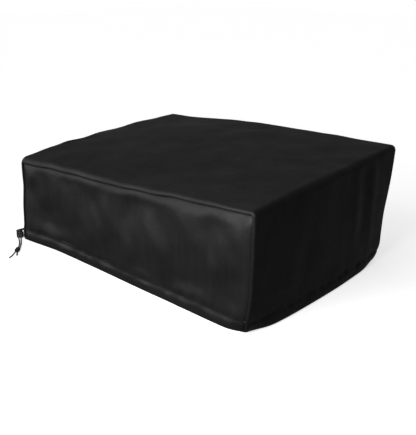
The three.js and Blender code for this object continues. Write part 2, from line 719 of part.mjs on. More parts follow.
const upwards = new THREE.Vector3(0, 0, 1);
const knotWay = heading.clone().applyAxisAngle(upwards, KNOT_TURN);
const knotLeft = leftwards.clone().applyAxisAngle(upwards, KNOT_TURN);
const knotFrom = onTable(KNOT_START);
{
  const outline = KNOT_PROFILE.map(([r, h]) => new THREE.Vector2(r, h));
  const turn = new THREE.Quaternion().setFromUnitVectors(new THREE.Vector3(0, 1, 0), knotWay);
  const knot = new THREE.LatheGeometry(outline, 16)
    .applyQuaternion(turn)
    .translate(...knotFrom.clone().addScaledVector(knotWay, KNOT_GAP));
  add("knot", fromManifold(toManifold(knot)), CORD_LOOK);
}

// A tail past the knot: how far to its left it starts, and how far its way is turned.
function tail(length, left, turn) {
  const way = knotWay.clone().applyAxisAngle(upwards, turn);
  const from = knotFrom
    .clone()
    .addScaledVector(knotWay, KNOT_LENGTH + 4 * KNOT_GAP)
    .addScaledVector(knotLeft, left);
  const at = (share, height) => from.clone().addScaledVector(way, share * length).setZ(height);
  return [at(0, 4.4), at(0.25, 3.2), at(0.5, 2), at(0.75, 1.65), at(1, 1.6)];
}
add("tail_long", cord(tail(24, -1.75, -0.14), CORD_R, 12, CORD_SIDES), CORD_LOOK);
add("tail_short", cord(tail(10, 1.75, 0.14), CORD_R, 8, CORD_SIDES), CORD_LOOK);

// ---------------------------------------------------------------- cord lock
// A rounded block on the lock's axis: its length lies along X, its height along Z.
function block(length, width, low, high, radius, bevel = 0) {
  const [l, w] = [length / 2 - bevel, width / 2 - bevel];
  const r = Math.min(radius - bevel, l - 0.001, w - 0.001);
  const outline = new THREE.Shape();
  outline.moveTo(-l + r, -w);
  outline.lineTo(l - r, -w);
  outline.absarc(l - r, -w + r, r, -Math.PI / 2, 0);
  outline.absarc(l - r, w - r, r, 0, Math.PI / 2);
  outline.absarc(-l + r, w - r, r, Math.PI / 2, Math.PI);
  outline.absarc(-l + r, -w + r, r, Math.PI, 1.5 * Math.PI);
  const g = new THREE.ExtrudeGeometry(outline, {
    depth: high - low - 2 * bevel,
    steps: 1,
    curveSegments: 6,
    bevelEnabled: bevel > 0,
    bevelThickness: bevel,
    bevelSize: bevel,
    bevelSegments: 2,
  });
  return toManifold(g.translate(0, 0, low + bevel));
}

// The lock is made with the strands along Y, then turned into place.
const lockTurn = new THREE.Quaternion().setFromUnitVectors(new THREE.Vector3(0, -1, 0), heading);
const placed = (solid) => fromManifold(solid).applyQuaternion(lockTurn).translate(...lockAt);

let barrel = block(BARREL_L, BARREL_W, 0, BARREL_H, BARREL_CORNER, BARREL_BEVEL);
barrel = barrel.subtract(block(BORE_L, BORE_W, BARREL_FLOOR, BARREL_H + 2, BORE_W / 2));
for (const side of [-1, 1]) {
  const hole = new THREE.CylinderGeometry(CORD_HOLE_R, CORD_HOLE_R, BARREL_W + 4, 20);
  hole.translate((side * STRAND_GAP) / 2, 0, STRAND_HEIGHT);
  barrel = barrel.subtract(toManifold(hole));
}
add("lock_barrel", placed(barrel), PLASTIC_LOOK);

const slotLow = STRAND_HEIGHT - CORD_R - SLOT_CLEAR;
const slotHigh = STRAND_HEIGHT + CORD_R + SLOT_CLEAR + PLUNGER_TRAVEL;
const capLow = BARREL_H + PLUNGER_TRAVEL + CAP_CLEAR;
const stemL = BORE_L - 2 * PLUNGER_CLEAR;
const stemW = BORE_W - 2 * PLUNGER_CLEAR;
let plunger = block(stemL, stemW, slotLow - PLUNGER_BAR, capLow + 1, stemW / 2);
for (const side of [-1, 1]) {
  const slot = block(2 * (CORD_R + SLOT_CLEAR), 20, slotLow, slotHigh, 0.4);
  plunger = plunger.subtract(slot.translate([(side * STRAND_GAP) / 2, 0, 0]));
}
const dome = CAP_PROFILE.map(([r, h]) => new THREE.Vector2(r, h));
const cap = new THREE.LatheGeometry(dome, 28).rotateX(Math.PI / 2).translate(0, 0, capLow);
plunger = plunger.add(toManifold(cap));
add("lock_plunger", placed(plunger), PLASTIC_LOOK);

const springLow = BARREL_FLOOR + SPRING_WIRE_R + SPRING_GAP;
const springHigh = slotLow - PLUNGER_BAR - SPRING_WIRE_R - SPRING_GAP;
const COIL_POINTS = 12; // per turn
const coil = [];
for (let k = 0; k <= SPRING_TURNS * COIL_POINTS; k++) {
  const a = (2 * Math.PI * k) / COIL_POINTS;
  const height = lerp(springLow, springHigh, k / (SPRING_TURNS * COIL_POINTS));
  coil.push(new THREE.Vector3(SPRING_R * Math.cos(a), SPRING_R * Math.sin(a), height));
}
const spring = toManifold(cord(coil, SPRING_WIRE_R, SPRING_TURNS * COIL_POINTS, 6));
add("lock_spring", placed(spring), STEEL_LOOK);

export default part;
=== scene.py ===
import math

import bpy
import numpy as np
from mathutils import Matrix, Vector


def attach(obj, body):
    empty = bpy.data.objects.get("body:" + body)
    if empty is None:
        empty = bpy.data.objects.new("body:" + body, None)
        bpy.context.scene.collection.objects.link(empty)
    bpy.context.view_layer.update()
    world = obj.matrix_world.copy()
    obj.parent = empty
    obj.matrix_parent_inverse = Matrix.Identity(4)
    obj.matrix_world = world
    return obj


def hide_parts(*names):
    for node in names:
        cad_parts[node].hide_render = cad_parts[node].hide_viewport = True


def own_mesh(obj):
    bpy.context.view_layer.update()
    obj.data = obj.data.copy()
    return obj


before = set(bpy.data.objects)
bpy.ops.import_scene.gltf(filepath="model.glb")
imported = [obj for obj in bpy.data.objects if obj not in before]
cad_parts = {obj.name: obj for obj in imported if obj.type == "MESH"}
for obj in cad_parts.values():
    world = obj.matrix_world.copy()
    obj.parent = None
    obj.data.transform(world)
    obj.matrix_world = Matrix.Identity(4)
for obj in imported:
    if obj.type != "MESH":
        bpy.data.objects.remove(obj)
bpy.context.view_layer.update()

MM = 0.001  # lengths below are in millimetres unless they say metres

# ------------------------------------------------------------------ camera
CAMERA_AT = (0.9152, -0.9330, 0.5506)  # metres
CAMERA_AZIMUTH = math.radians(43.826)
CAMERA_ELEVATION = math.radians(20.186)
CAMERA_LENS = 60.58
SENSOR = 36.0


def make_camera():
    a, e = CAMERA_AZIMUTH, CAMERA_ELEVATION
    back = Vector((math.sin(a) * math.cos(e), -math.cos(a) * math.cos(e), math.sin(e)))
    right = Vector((math.cos(a), math.sin(a), 0))
    up = back.cross(right)
    data = bpy.data.cameras.new("camera")
    data.lens = CAMERA_LENS
    data.sensor_width = SENSOR
    data.sensor_fit = "HORIZONTAL"
    data.clip_start, data.clip_end = 0.01, 100
    camera = bpy.data.objects.new("camera", data)
    bpy.context.scene.collection.objects.link(camera)
    turn = Matrix((right, up, back)).transposed().to_4x4()
    camera.matrix_world = Matrix.Translation(CAMERA_AT) @ turn
    bpy.context.scene.camera = camera


make_camera()

# ------------------------------------------------------------------ shape of the cover
CENTRE_X, CENTRE_Y = -2.1, -1.5
TOP_FRONT = [(0, 179), (0.17, 186), (0.36, 190), (0.6, 196), (0.78, 205), (1, 213)]
TOP_REAR = [(0, 206), (0.16, 211.5), (0.37, 222), (0.58, 227.2), (0.78, 229.3), (1, 230)]
TOP_LEFT = [(0, 179), (0.17, 189), (0.4, 196.6), (0.76, 203.6), (1, 206)]
TOP_RIGHT = [(0, 213), (0.5, 223), (1, 231)]
CROWN = 4
LEFT_FRONT = [
    (0, 312), (5.5, 314), (17.5, 314), (23.5, 311), (30, 311), (72, 311.2), (127, 309), (180, 306),
]
LEFT_REAR = [(0, 290), (95, 293), (184, 298), (210, 298)]
RIGHT_FRONT = [(0, 303), (35, 305), (66, 309), (105, 312), (152, 315), (215, 315)]
RIGHT_REAR = [(0, 288), (95, 290), (184, 297), (232, 299)]
SIDE_BULGE = (8, 2)
FRONT_Y = (-202.5, -207)
REAR_Y = (204, 214)
FRONT_BULGE = 2
REAR_BULGE = (4, 1.5)
PULL_HEIGHT, PULL_REACH_X, PULL_REACH_Y = 45, 22, 36
PULL_FRONT_LEFT, PULL_FRONT_RIGHT = (0, 0), (15, 10)
PULL_REAR_RIGHT, PULL_REAR_LEFT = (9, 9), (9, 9)
KICK, KICK_REACH, KICK_HEIGHT = 10.5, 75, 120
LEFT_ROLL, RIGHT_ROLL = (16, 16, 12), (8, 13, 9)
SEAM_ROLL_LEFT, SEAM_ROLL_TOP, SEAM_ROLL_RIGHT = 8, (12, 5), 4.5
HEM_TOP, STITCH_HEIGHT = 27, 23.7
HEM_FOLD = [
    (1.9, 27), (1.9, 23.6), (4.8, 20), (6.7, 15.5), (7.1, 11), (6.7, 5.5), (5.7, 2), (4.2, 0.5),
    (1.3, 0.45), (0.1, 2.2), (-0.9, 5.5), (-1.1, 11.5), (-0.9, 17.5), (0.6, STITCH_HEIGHT), (0.1, HEM_TOP),
]
CLOTH = 0.6  # thickness that is shown
SOFTEN = 0.06  # share of a curve over which its bends are softened


def lerp(a, b, t):
    return a + (b - a) * t


def clamp01(t):
    return np.clip(t, 0, 1)


def smooth(t):
    t = clamp01(t)
    return t * t * (3 - 2 * t)


def along(points, at, soften=SOFTEN):
    """A soft curve through [at, value] points, straight past both ends."""
    xs, ys = (list(k) for k in zip(*points))
    xs = [2 * xs[0] - xs[1], *xs, 2 * xs[-1] - xs[-2]]
    ys = [2 * ys[0] - ys[1], *ys, 2 * ys[-1] - ys[-2]]
    reach = soften * (points[-1][0] - points[0][0])
    return sum(np.interp(at + k * reach, xs, ys) for k in (-1, -0.5, 0, 0.5, 1)) / 5


def through(values, t):
    a, b, c = values
    return lerp(a, c, t) + (b - (a + c) / 2) * np.sin(np.pi * t)


def bell(distance, reach):
    return np.exp(-((distance / reach) ** 2))


def hem_pull(z):
    return clamp01(1 - z / PULL_HEIGHT) ** 2


def side_x(side, v, z):
    front = along(LEFT_FRONT if side < 0 else RIGHT_FRONT, z)
    rear = along(LEFT_REAR if side < 0 else RIGHT_REAR, z)
    high = clamp01(z / TOP_RIGHT[1][1])
    bulge = lerp(*SIDE_BULGE, high) * np.sin(np.pi * v)
    depth = REAR_Y[0] - FRONT_Y[0]
    pull_front = (PULL_FRONT_LEFT if side < 0 else PULL_FRONT_RIGHT)[0]
    pull_rear = (PULL_REAR_LEFT if side < 0 else PULL_REAR_RIGHT)[0]
    pull = pull_front * bell(v * depth, PULL_REACH_Y) + pull_rear * bell((1 - v) * depth, PULL_REACH_Y)
    return CENTRE_X + side * (lerp(front, rear, v) + bulge - pull * hem_pull(z))


def front_y(u, z):
    high = clamp01(z / lerp(TOP_FRONT[0][1], TOP_RIGHT[0][1], u))
    width = LEFT_FRONT[0][1] + RIGHT_FRONT[0][1]
    bulge = FRONT_BULGE * np.sin(np.pi * high) * np.sin(np.pi * u)
    kick = KICK * bell(u * width, KICK_REACH) * clamp01(1 - z / KICK_HEIGHT)
    pull = PULL_FRONT_LEFT[1] * bell(u * width, PULL_REACH_X)
    pull = pull + PULL_FRONT_RIGHT[1] * bell((1 - u) * width, PULL_REACH_X)
    return CENTRE_Y + lerp(*FRONT_Y, high) - bulge - kick + pull * hem_pull(z)


def rear_y(u, z):
    high = clamp01(z / lerp(TOP_REAR[0][1], TOP_RIGHT[2][1], u))
    width = LEFT_REAR[0][1] + RIGHT_REAR[0][1]
    bulge = lerp(*REAR_BULGE, high) * np.sin(np.pi * u)
    pull = PULL_REAR_LEFT[1] * bell(u * width, PULL_REACH_X)
    pull = pull + PULL_REAR_RIGHT[1] * bell((1 - u) * width, PULL_REACH_X)
    return CENTRE_Y + lerp(*REAR_Y, high) + bulge - pull * hem_pull(z)


def top_z(u, v):
    front_left, front_right = TOP_LEFT[0][1], TOP_RIGHT[0][1]
    rear_left, rear_right = TOP_LEFT[-1][1], TOP_RIGHT[-1][1]
    edges = lerp(along(TOP_FRONT, u), along(TOP_REAR, u), v)
    edges = edges + lerp(along(TOP_LEFT, v), along(TOP_RIGHT, v), u)
    corners = lerp(lerp(front_left, front_right, u), lerp(rear_left, rear_right, u), v)
    return edges - corners + CROWN * np.sin(np.pi * u) * np.sin(np.pi * v)


def roll_centre(side, v):
    r = through(LEFT_ROLL if side < 0 else RIGHT_ROLL, v)
    z = top_z(0 if side < 0 else 1, v) - r
    return side_x(side, v, z) - side * r, z, r


# ------------------------------------------------------------------ stations round the wrap panel
HEM_ROWS, SIDE_ROWS, ROLL_ROWS, TOP_ROWS = 26, 34, 8, 130


def curve_points(points, count):
    """count points spread evenly along a smooth curve through the given ones."""
    p = np.array(points, float)
    ext = np.vstack([2 * p[0] - p[1], p, 2 * p[-1] - p[-2]])
    fine = []
    for i in range(len(p) - 1):
        a, b, c, d = ext[i : i + 4]
        for t in np.linspace(0, 1, 24, endpoint=False):
            square, cube = 2 * a - 5 * b + 4 * c - d, 3 * b - a - 3 * c + d
            fine.append(0.5 * (2 * b + (c - a) * t + square * t * t + cube * t**3))
    fine.append(p[-1])
    fine = np.array(fine)
    length = np.concatenate([[0], np.cumsum(np.linalg.norm(np.diff(fine, axis=0), axis=1))])
    at = np.linspace(0, length[-1], count)
    return np.stack([np.interp(at, length, fine[:, k]) for k in range(fine.shape[1])], axis=1)


hem_curve = curve_points(HEM_FOLD[:-1], HEM_ROWS)
hem_low = int(np.argmin(hem_curve[:, 1]))


def hem_turned(k):
    """0 on the hem's inner ply, 1 on its outer ply."""
    return float(smooth((k - hem_low + 1) / 4))


STATIONS = [("hem", -1, o, z, hem_turned(k)) for k, (o, z) in enumerate(hem_curve)]
STATIONS += [("side", -1, t, 0, 1.0) for t in np.linspace(0, 1, SIDE_ROWS)]
STATIONS += [("roll", -1, t, 0, 1.0) for t in np.linspace(0, 1, ROLL_ROWS + 1)[1:-1]]
STATIONS += [("top", 0, t, 0, 1.0) for t in np.linspace(0, 1, TOP_ROWS)]
STATIONS += [("roll", 1, t, 0, 1.0) for t in np.linspace(1, 0, ROLL_ROWS + 1)[1:-1]]
STATIONS += [("side", 1, t, 0, 1.0) for t in np.linspace(1, 0, SIDE_ROWS)]
STATIONS += [("hem", 1, o, z, hem_turned(HEM_ROWS - 1 - k)) for k, (o, z) in enumerate(hem_curve[::-1])]


def station_xz(station, v):
    kind, side, t, height, _ = station
    if kind == "hem":
        return side_x(side, v, height) - side * t, height + 0 * v
    if kind == "top":
        return lerp(roll_centre(-1, v)[0], roll_centre(1, v)[0], t), top_z(t, v)
    x, z, r = roll_centre(side, v)
    if kind == "side":
        z = lerp(HEM_TOP, z, t)
        return side_x(side, v, z), z
    a = t * np.pi / 2
    return x + side * r * np.cos(a), z + r * np.sin(a)


def station_u(station):
    kind, side, t = station[:3]
    return t if kind == "top" else (0.0 if side < 0 else 1.0)


def seam_roll(station):
    kind, side, t = station[:3]
    if kind == "top":
        return lerp(*SEAM_ROLL_TOP, t)
    own = SEAM_ROLL_LEFT if side < 0 else SEAM_ROLL_RIGHT
    return own if kind != "roll" else lerp(own, SEAM_ROLL_TOP[0 if side < 0 else 1], t)


def station_face(station, rear):
    z = station_xz(station, 1.0 if rear else 0.0)[1]
    return (rear_y if rear else front_y)(station_u(station), z)


def section_grid(columns):
    """Points of the wrap's section. columns(station) gives, for each column, how far it is behind the
    front face (or before the rear face, where it is negative), and how far it is inwards."""
    x, y, z, inset = [], [], [], []
    for station in STATIONS:
        behind, inwards = columns(station)
        front, back = station_face(station, False), station_face(station, True)
        at = np.where(behind >= 0, front + behind, back + behind)
        v = clamp01((at - front) / (back - front))
        px, pz = station_xz(station, v)
        x.append(px + 0 * at)
        y.append(at)
        z.append(pz + 0 * at)
        inset.append(inwards)
    x, y, z, inset = (np.array(k) for k in (x, y, z, inset))
    tx, tz = np.gradient(x, axis=0), np.gradient(z, axis=0)
    length = np.hypot(tx, tz)
    nx, nz = tz / length, -tx / length
    hem = np.array([s[0] == "hem" for s in STATIONS])
    sides = np.array([s[1] for s in STATIONS], float)
    nx[hem], nz[hem] = -sides[hem, None], 0
    return np.stack([x + inset * nx, y, z + inset * nz], axis=2)


# ------------------------------------------------------------------ waves, dents and folds in the cloth
def ripples(seed, wavelength, count=30, stretch=(1, 1, 1)):
    """A smooth random field of about unit height, with waves near the given length."""
    rng = np.random.default_rng(seed)
    way = rng.normal(size=(count, 3))
    way /= np.linalg.norm(way, axis=1, keepdims=True)
    way *= 2 * np.pi / (wavelength * rng.uniform(0.7, 1.6, (count, 1))) / np.array(stretch)
    phase = rng.uniform(0, 2 * np.pi, count)
    return lambda p: np.sin(p @ way.T + phase).sum(axis=-1) * math.sqrt(2 / count)


broad = [ripples(11 + k, 150) for k in range(3)]
middle = [ripples(21 + k, 62) for k in range(3)]
fine_dents = ripples(31, 30)
FLOOR_FADE = 30  # height below which nothing moves up or down


def cloth_waves(p):
    """How the whole cover is moved off its smooth shape, at points p."""
    amount = np.stack([0.5 * broad[k](p) + 0.3 * middle[k](p) for k in range(3)], axis=-1)
    amount[..., 2] *= smooth(p[..., 2] / FLOOR_FADE)
    low = smooth((p[..., 2] - 4) / 40)
    amount[..., :2] *= (0.35 + 0.65 * low)[..., None]
    return amount


# ------------------------------------------------------------------ meshes
def mesh_object(name, points, faces, uv=None, smooth_shaded=True):
    mesh = bpy.data.meshes.new(name)
    mesh.from_pydata((np.asarray(points) * MM).tolist(), [], [list(map(int, f)) for f in faces])
    if uv is not None:
        layer = mesh.uv_layers.new(name="UVMap")
        loops = np.zeros(len(mesh.loops), np.int32)
        mesh.loops.foreach_get("vertex_index", loops)
        layer.data.foreach_set("uv", (np.asarray(uv) * MM)[loops].astype(np.float32).ravel())
    mesh.polygons.foreach_set("use_smooth", [smooth_shaded] * len(mesh.polygons))
    mesh.update()
    obj = bpy.data.objects.new(name, mesh)
    bpy.context.scene.collection.objects.link(obj)
    return obj


def grid_faces(rows, columns, skip=None):
    i, j = np.meshgrid(np.arange(rows - 1), np.arange(columns - 1), indexing="ij")
    if skip is not None:
        keep = ~skip(i, j)
        i, j = i[keep], j[keep]
    a = (i * columns + j).ravel()
    return np.stack([a, a + columns, a + columns + 1, a + 1], axis=1)


def apply_modifiers(obj):
    graph = bpy.context.evaluated_depsgraph_get()
    mesh = bpy.data.meshes.new_from_object(obj.evaluated_get(graph), depsgraph=graph)
    old = obj.data
    obj.modifiers.clear()
    obj.data = mesh
    bpy.data.meshes.remove(old)
    mesh.name = obj.name
    mesh.polygons.foreach_set("use_smooth", [True] * len(mesh.polygons))


def thicken(obj, thickness=CLOTH):
    solid = obj.modifiers.new("thickness", "SOLIDIFY")
    solid.thickness = thickness * MM
    solid.offset = 0
    solid.use_even_offset = False
    apply_modifiers(obj)


def normals_of(grid):
    down = np.gradient(grid, axis=0)
    across = np.gradient(grid, axis=1)
    n = np.cross(down, across)
    return n / np.maximum(np.linalg.norm(n, axis=2, keepdims=True), 1e-9)


def arc_uv(grid):
    """Lengths along the middle row and the middle column, as a place on the flat cloth."""
    rows, columns = grid.shape[:2]
    down = grid[:, columns // 2]
    across = grid[rows // 2]
    a = np.concatenate([[0], np.cumsum(np.linalg.norm(np.diff(down, axis=0), axis=1))])
    b = np.concatenate([[0], np.cumsum(np.linalg.norm(np.diff(across, axis=0), axis=1))])
    return np.stack(np.meshgrid(b, a), axis=2).reshape(-1, 2)


def frames_along(path):
    """Directions across a path that turn with it as little as possible."""
    way = np.gradient(path, axis=0)
    way /= np.linalg.norm(way, axis=1, keepdims=True)
    start = np.array([0, 0, 1.0]) if abs(way[0][2]) < 0.9 else np.array([1.0, 0, 0])
    side = np.cross(way[0], start)
    out = []
    for w in way:
        side = side - w * side.dot(w)
        side = side / np.linalg.norm(side)
        out.append((side, np.cross(w, side)))
    return np.array(out)


def tube(path, radius, sides, braid=0.0, closed_ends=True, phase=0.0):
    """Points and faces of a round cord. braid is the height of its diamond pattern."""
    path = np.asarray(path, float)
    n = len(path)
    radius = np.broadcast_to(np.asarray(radius, float), (n,))
    frames = frames_along(path)
    angle = np.linspace(0, 2 * np.pi, sides, endpoint=False)
    length = np.concatenate([[0], np.cumsum(np.linalg.norm(np.diff(path, axis=0), axis=1))])
    twist = BRAID_TURN * length[:, None]
    pattern = np.sin(BRAID_STRANDS / 2 * angle + twist + phase) * np.sin(BRAID_STRANDS / 2 * angle - twist)
    r = radius[:, None] + braid * pattern
    cosine, sine = np.cos(angle)[None, :, None], np.sin(angle)[None, :, None]
    around = frames[:, 0, None, :] * cosine + frames[:, 1, None, :] * sine
    points = (path[:, None, :] + around * r[:, :, None]).reshape(-1, 3)
    i, j = np.meshgrid(np.arange(n - 1), np.arange(sides), indexing="ij")
    a, b = (i * sides + j).ravel(), (i * sides + (j + 1) % sides).ravel()
    faces = np.stack([a, b, b + sides, a + sides], axis=1).tolist()
    if closed_ends:
        tips = path[0] - 0.3 * (path[1] - path[0]), path[-1] + 0.3 * (path[-1] - path[-2])
        points = np.vstack([points, *tips])
        first, last = len(points) - 2, len(points) - 1
        faces += [[first, (k + 1) % sides, k] for k in range(sides)]
        base = (n - 1) * sides
        faces += [[last, base + k, base + (k + 1) % sides] for k in range(sides)]
    return points, faces


BRAID_STRANDS = 8
BRAID_TURN = 1.9  # radians of the pattern for each millimetre of cord


def joined(parts):
    points, faces, base = [], [], 0
    for p, f in parts:
        points.append(p)
        faces += [[k + base for k in face] for face in f]
        base += len(p)
    return np.vstack(points), faces


# ------------------------------------------------------------------ materials
def new_material(name):
    material = bpy.data.materials.new(name)
    material.use_nodes = True
    tree = material.node_tree
    return material, tree, tree.nodes["Principled BSDF"]


def node(tree, kind, inputs=None, **settings):
    made = tree.nodes.new(kind)
    for key, value in settings.items():
        setattr(made, key, value)
    for key, value in (inputs or {}).items():
        if isinstance(value, bpy.types.NodeSocket):
            tree.links.new(value, made.inputs[key])
        else:
            made.inputs[key].default_value = value
    return made


def noise(tree, coordinates, scale, detail=3, roughness=0.5):
    return node(
        tree, "ShaderNodeTexNoise",
        {"Vector": coordinates, "Scale": scale, "Detail": detail, "Roughness": roughness},
    ).outputs["Fac"]


def maths(tree, operation, a, b=0.0):
    made = node(tree, "ShaderNodeMath", {0: a, 1: b}, operation=operation)
    return made.outputs[0]


def remap(tree, value, low, high, to_low, to_high):
    return node(
        tree, "ShaderNodeMapRange",
        {"Value": value, "From Min": low, "From Max": high, "To Min": to_low, "To Max": to_high},
    ).outputs[0]


def shade(tree, factor, dark, light):
    return node(
        tree, "ShaderNodeMix", {0: factor, 6: (*dark, 1), 7: (*light, 1)}, data_type="RGBA"
    ).outputs[2]


WEAVE_PITCH = 0.00062  # metres from thread to thread


def cloth_material(name, dark, light, rough, sheen, pitch=WEAVE_PITCH, bump=0.25):
    """Plain-woven coated polyester: crossing threads, slubs, patches of painted sheen (lighter base colour
    where soft bumps of the cloth would catch the light) and fine creases.
    """
    material, tree, shader = new_material(name)
    uv = node(tree, "ShaderNodeTexCoord").outputs["UV"]
    place = node(tree, "ShaderNodeTexCoord").outputs["Object"]
    split = node(tree, "ShaderNodeSeparateXYZ", {0: uv})
    turns = 2 * math.pi / (2 * pitch)
    warp = maths(tree, "SINE", maths(tree, "MULTIPLY", split.outputs["X"], turns))
    weft = maths(tree, "SINE", maths(tree, "MULTIPLY", split.outputs["Y"], turns))
    weave = maths(tree, "MULTIPLY", warp, weft)
    slub_way = node(tree, "ShaderNodeMapping", {"Vector": uv, "Scale": (260, 1900, 1)}).outputs[0]
    slub = noise(tree, slub_way, 1.0, 2)
    streak_way = node(tree, "ShaderNodeMapping", {"Vector": uv, "Scale": (90, 9, 1)}).outputs[0]
    streak = noise(tree, streak_way, 1.0, 4, 0.6)
    # painted sheen: broad noise patches lighten the base colour the way light on soft bumps of the cloth
    # would; the same patches also vary the roughness
    sheen_patch = noise(tree, place, 13, 9, 0.74)
    grain = noise(tree, place, 900, 2)
    # the base colour's mix: painted sheen patches plus streaks along the threads
    sheen_and_streaks = maths(tree, "ADD", maths(tree, "MULTIPLY", sheen_patch, 0.6), maths(tree, "MULTIPLY", streak, 0.4))
    factor = remap(tree, maths(tree, "ADD", sheen_and_streaks, maths(tree, "MULTIPLY", slub, 0.35)), 0.48, 0.80, 0, 1)
    tree.links.new(shade(tree, factor, dark, light), shader.inputs["Base Color"])
    mottled_roughness = maths(tree, "ADD", sheen_patch, maths(tree, "MULTIPLY", grain, 0.3))
    mottled_roughness = remap(tree, mottled_roughness, 0.4, 0.9, rough[0], rough[1])
    tree.links.new(mottled_roughness, shader.inputs["Roughness"])
    shader.inputs["Specular IOR Level"].default_value = 0.15
    shader.inputs["Sheen Weight"].default_value = sheen
    shader.inputs["Sheen Roughness"].default_value = 0.45
    height = maths(tree, "ADD", weave, maths(tree, "MULTIPLY", slub, 1.2))
    threads = node(tree, "ShaderNodeBump", {"Height": height, "Strength": bump, "Distance": 0.00012})
    crease = noise(tree, place, 42, 4, 0.55)
    soft = node(
        tree, "ShaderNodeBump",
        {"Height": crease, "Strength": 0.35, "Distance": 0.0022, "Normal": threads.outputs[0]},
    )
    tree.links.new(soft.outputs[0], shader.inputs["Normal"])
    return material


def fibre_material(name, dark, light, rough, scale):
    """Twisted or braided yarn."""
    material, tree, shader = new_material(name)
    place = node(tree, "ShaderNodeTexCoord").outputs["Object"]
    yarn = noise(tree, place, scale, 3, 0.6)
    colour = shade(tree, remap(tree, yarn, 0.35, 0.7, 0, 1), dark, light)
    tree.links.new(colour, shader.inputs["Base Color"])
    tree.links.new(remap(tree, yarn, 0.3, 0.7, rough + 0.1, rough - 0.1), shader.inputs["Roughness"])
    shader.inputs["Specular IOR Level"].default_value = 0.18
    shader.inputs["Sheen Weight"].default_value = 0.15
    shader.inputs["Sheen Roughness"].default_value = 0.5
    bump = node(tree, "ShaderNodeBump", {"Height": yarn, "Strength": 0.4, "Distance": 0.0002})
    tree.links.new(bump.outputs[0], shader.inputs["Normal"])
    return material


def hard_material(name, dark, light, rough, metallic=0.0, scale=700, depth=0.00004):
    """Moulded plastic or finished metal, with a fine surface and slight wear."""
    material, tree, shader = new_material(name)
    place = node(tree, "ShaderNodeTexCoord").outputs["Object"]
    broad_marks = noise(tree, place, scale / 8, 3)
    fine_marks = noise(tree, place, scale, 2)
    broad_marks = maths(tree, "MULTIPLY", broad_marks, 0.6)
    mark = maths(tree, "ADD", broad_marks, maths(tree, "MULTIPLY", fine_marks, 0.4))
    colour = shade(tree, remap(tree, mark, 0.35, 0.65, 0, 1), dark, light)
    tree.links.new(colour, shader.inputs["Base Color"])
    tree.links.new(remap(tree, mark, 0.3, 0.7, rough - 0.08, rough + 0.1), shader.inputs["Roughness"])
    shader.inputs["Metallic"].default_value = metallic
    bump = node(tree, "ShaderNodeBump", {"Height": fine_marks, "Strength": 0.3, "Distance": depth})
    tree.links.new(bump.outputs[0], shader.inputs["Normal"])
    return material


CLOTH_MATERIAL = cloth_material("cloth", (0.0022,) * 3, (0.0068, 0.0068, 0.0069), (0.56, 0.40), 0.005)
TAPE_MATERIAL = cloth_material("tape", (0.005,) * 3, (0.012,) * 3, (0.75, 0.65), 0.01, 0.0009, 0.4)
CORD_MATERIAL = fibre_material("cord", (0.0028,) * 3, (0.009,) * 3, 0.75, 1500)
THREAD_MATERIAL = fibre_material("thread", (0.004,) * 3, (0.010,) * 3, 0.6, 4000)
PLASTIC_MATERIAL = hard_material("lock_plastic", (0.006,) * 3, (0.012, 0.012, 0.0125), 0.42)
METAL_MATERIAL = hard_material("eyelet_metal", (0.02,) * 3, (0.055, 0.054, 0.052), 0.34, 0.9)
STEEL_MATERIAL = hard_material("spring_steel", (0.42,) * 3, (0.62, 0.62, 0.63), 0.28, 1.0)


def finish_piece(obj, material, body, slot, *replaced):
    obj.data.materials.clear()
    obj.data.materials.append(material)
    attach(obj, body)
    if replaced:
        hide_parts(*replaced)
    return obj


# ------------------------------------------------------------------ drawstring and its free ends
CORD_R = 1.5
CORD_HEIGHT = 11
CORD_DEEP = 3.4  # of the cord's axis in the hem, from the face
EYELET_Y = (-178, -164)
EYELET_HOLE = 3.1
HELD_END = 2.8
LOCK_AT = np.array([-323.5 + CENTRE_X, -212.8 + CENTRE_Y, 0])
HEADING = math.radians(-32)
STRAND_GAP, STRAND_HEIGHT = 4.6, 7.6
CLOSE = 0.72
RUN = [
    (-12, 0, STRAND_HEIGHT, 1), (-8, 0, STRAND_HEIGHT, 1), (0, 0, STRAND_HEIGHT, 1),
    (9, 0, STRAND_HEIGHT, 1), (26, 0, STRAND_HEIGHT, 1), (36, 0.3, 6.6, 0.84),
    (46, 0.3, 4.6, CLOSE), (56, -0.7, 3.1, CLOSE), (66, -1.9, 3.3, CLOSE), (75.6, -2.9, 4.9, CLOSE),
]
KNOT_START, KNOT_TURN, KNOT_LONG = (76.8, -3, 5.4), -0.3, 14
KNOT_CORD_R = 1.2
TAILS = ((24, 0.14), (10, -0.14))  # length, and turn from the knot's way
heading = np.array([math.cos(HEADING), math.sin(HEADING), 0])
leftwards = np.array([-math.sin(HEADING), math.cos(HEADING), 0])
knot_way = np.array([math.cos(HEADING + KNOT_TURN), math.sin(HEADING + KNOT_TURN), 0])
knot_left = np.array([-knot_way[1], knot_way[0], 0])
UP = np.array([0, 0, 1.0])


def on_table(ahead, left, height):
    return LOCK_AT + heading * ahead + leftwards * left + UP * height


def left_hem(y, height=CORD_HEIGHT):
    """A point on the outer ply of the left hem, and the way in from it."""
    front, back = front_y(0.0, height), rear_y(0.0, height)
    x = [side_x(-1, (k - front) / (back - front), height) + HEM_FOLD[11][0] for k in (y - 1, y, y + 1)]
    inwards = np.array([1, -(x[2] - x[0]) / 2, 0])
    return np.array([x[1], y, height]), inwards / np.linalg.norm(inwards)


def held_x(y):
    at, inwards = left_hem(y)
    return at[0] + CORD_DEEP * inwards[0]


eyelets = [left_hem(y) for y in EYELET_Y]


def spread(points, step):
    """A smooth path through the points, in equal steps of about the given length."""
    rough = curve_points(points, 400)
    length = np.linalg.norm(np.diff(rough, axis=0), axis=1).sum()
    return curve_points(points, max(8, int(round(length / step)) + 1))


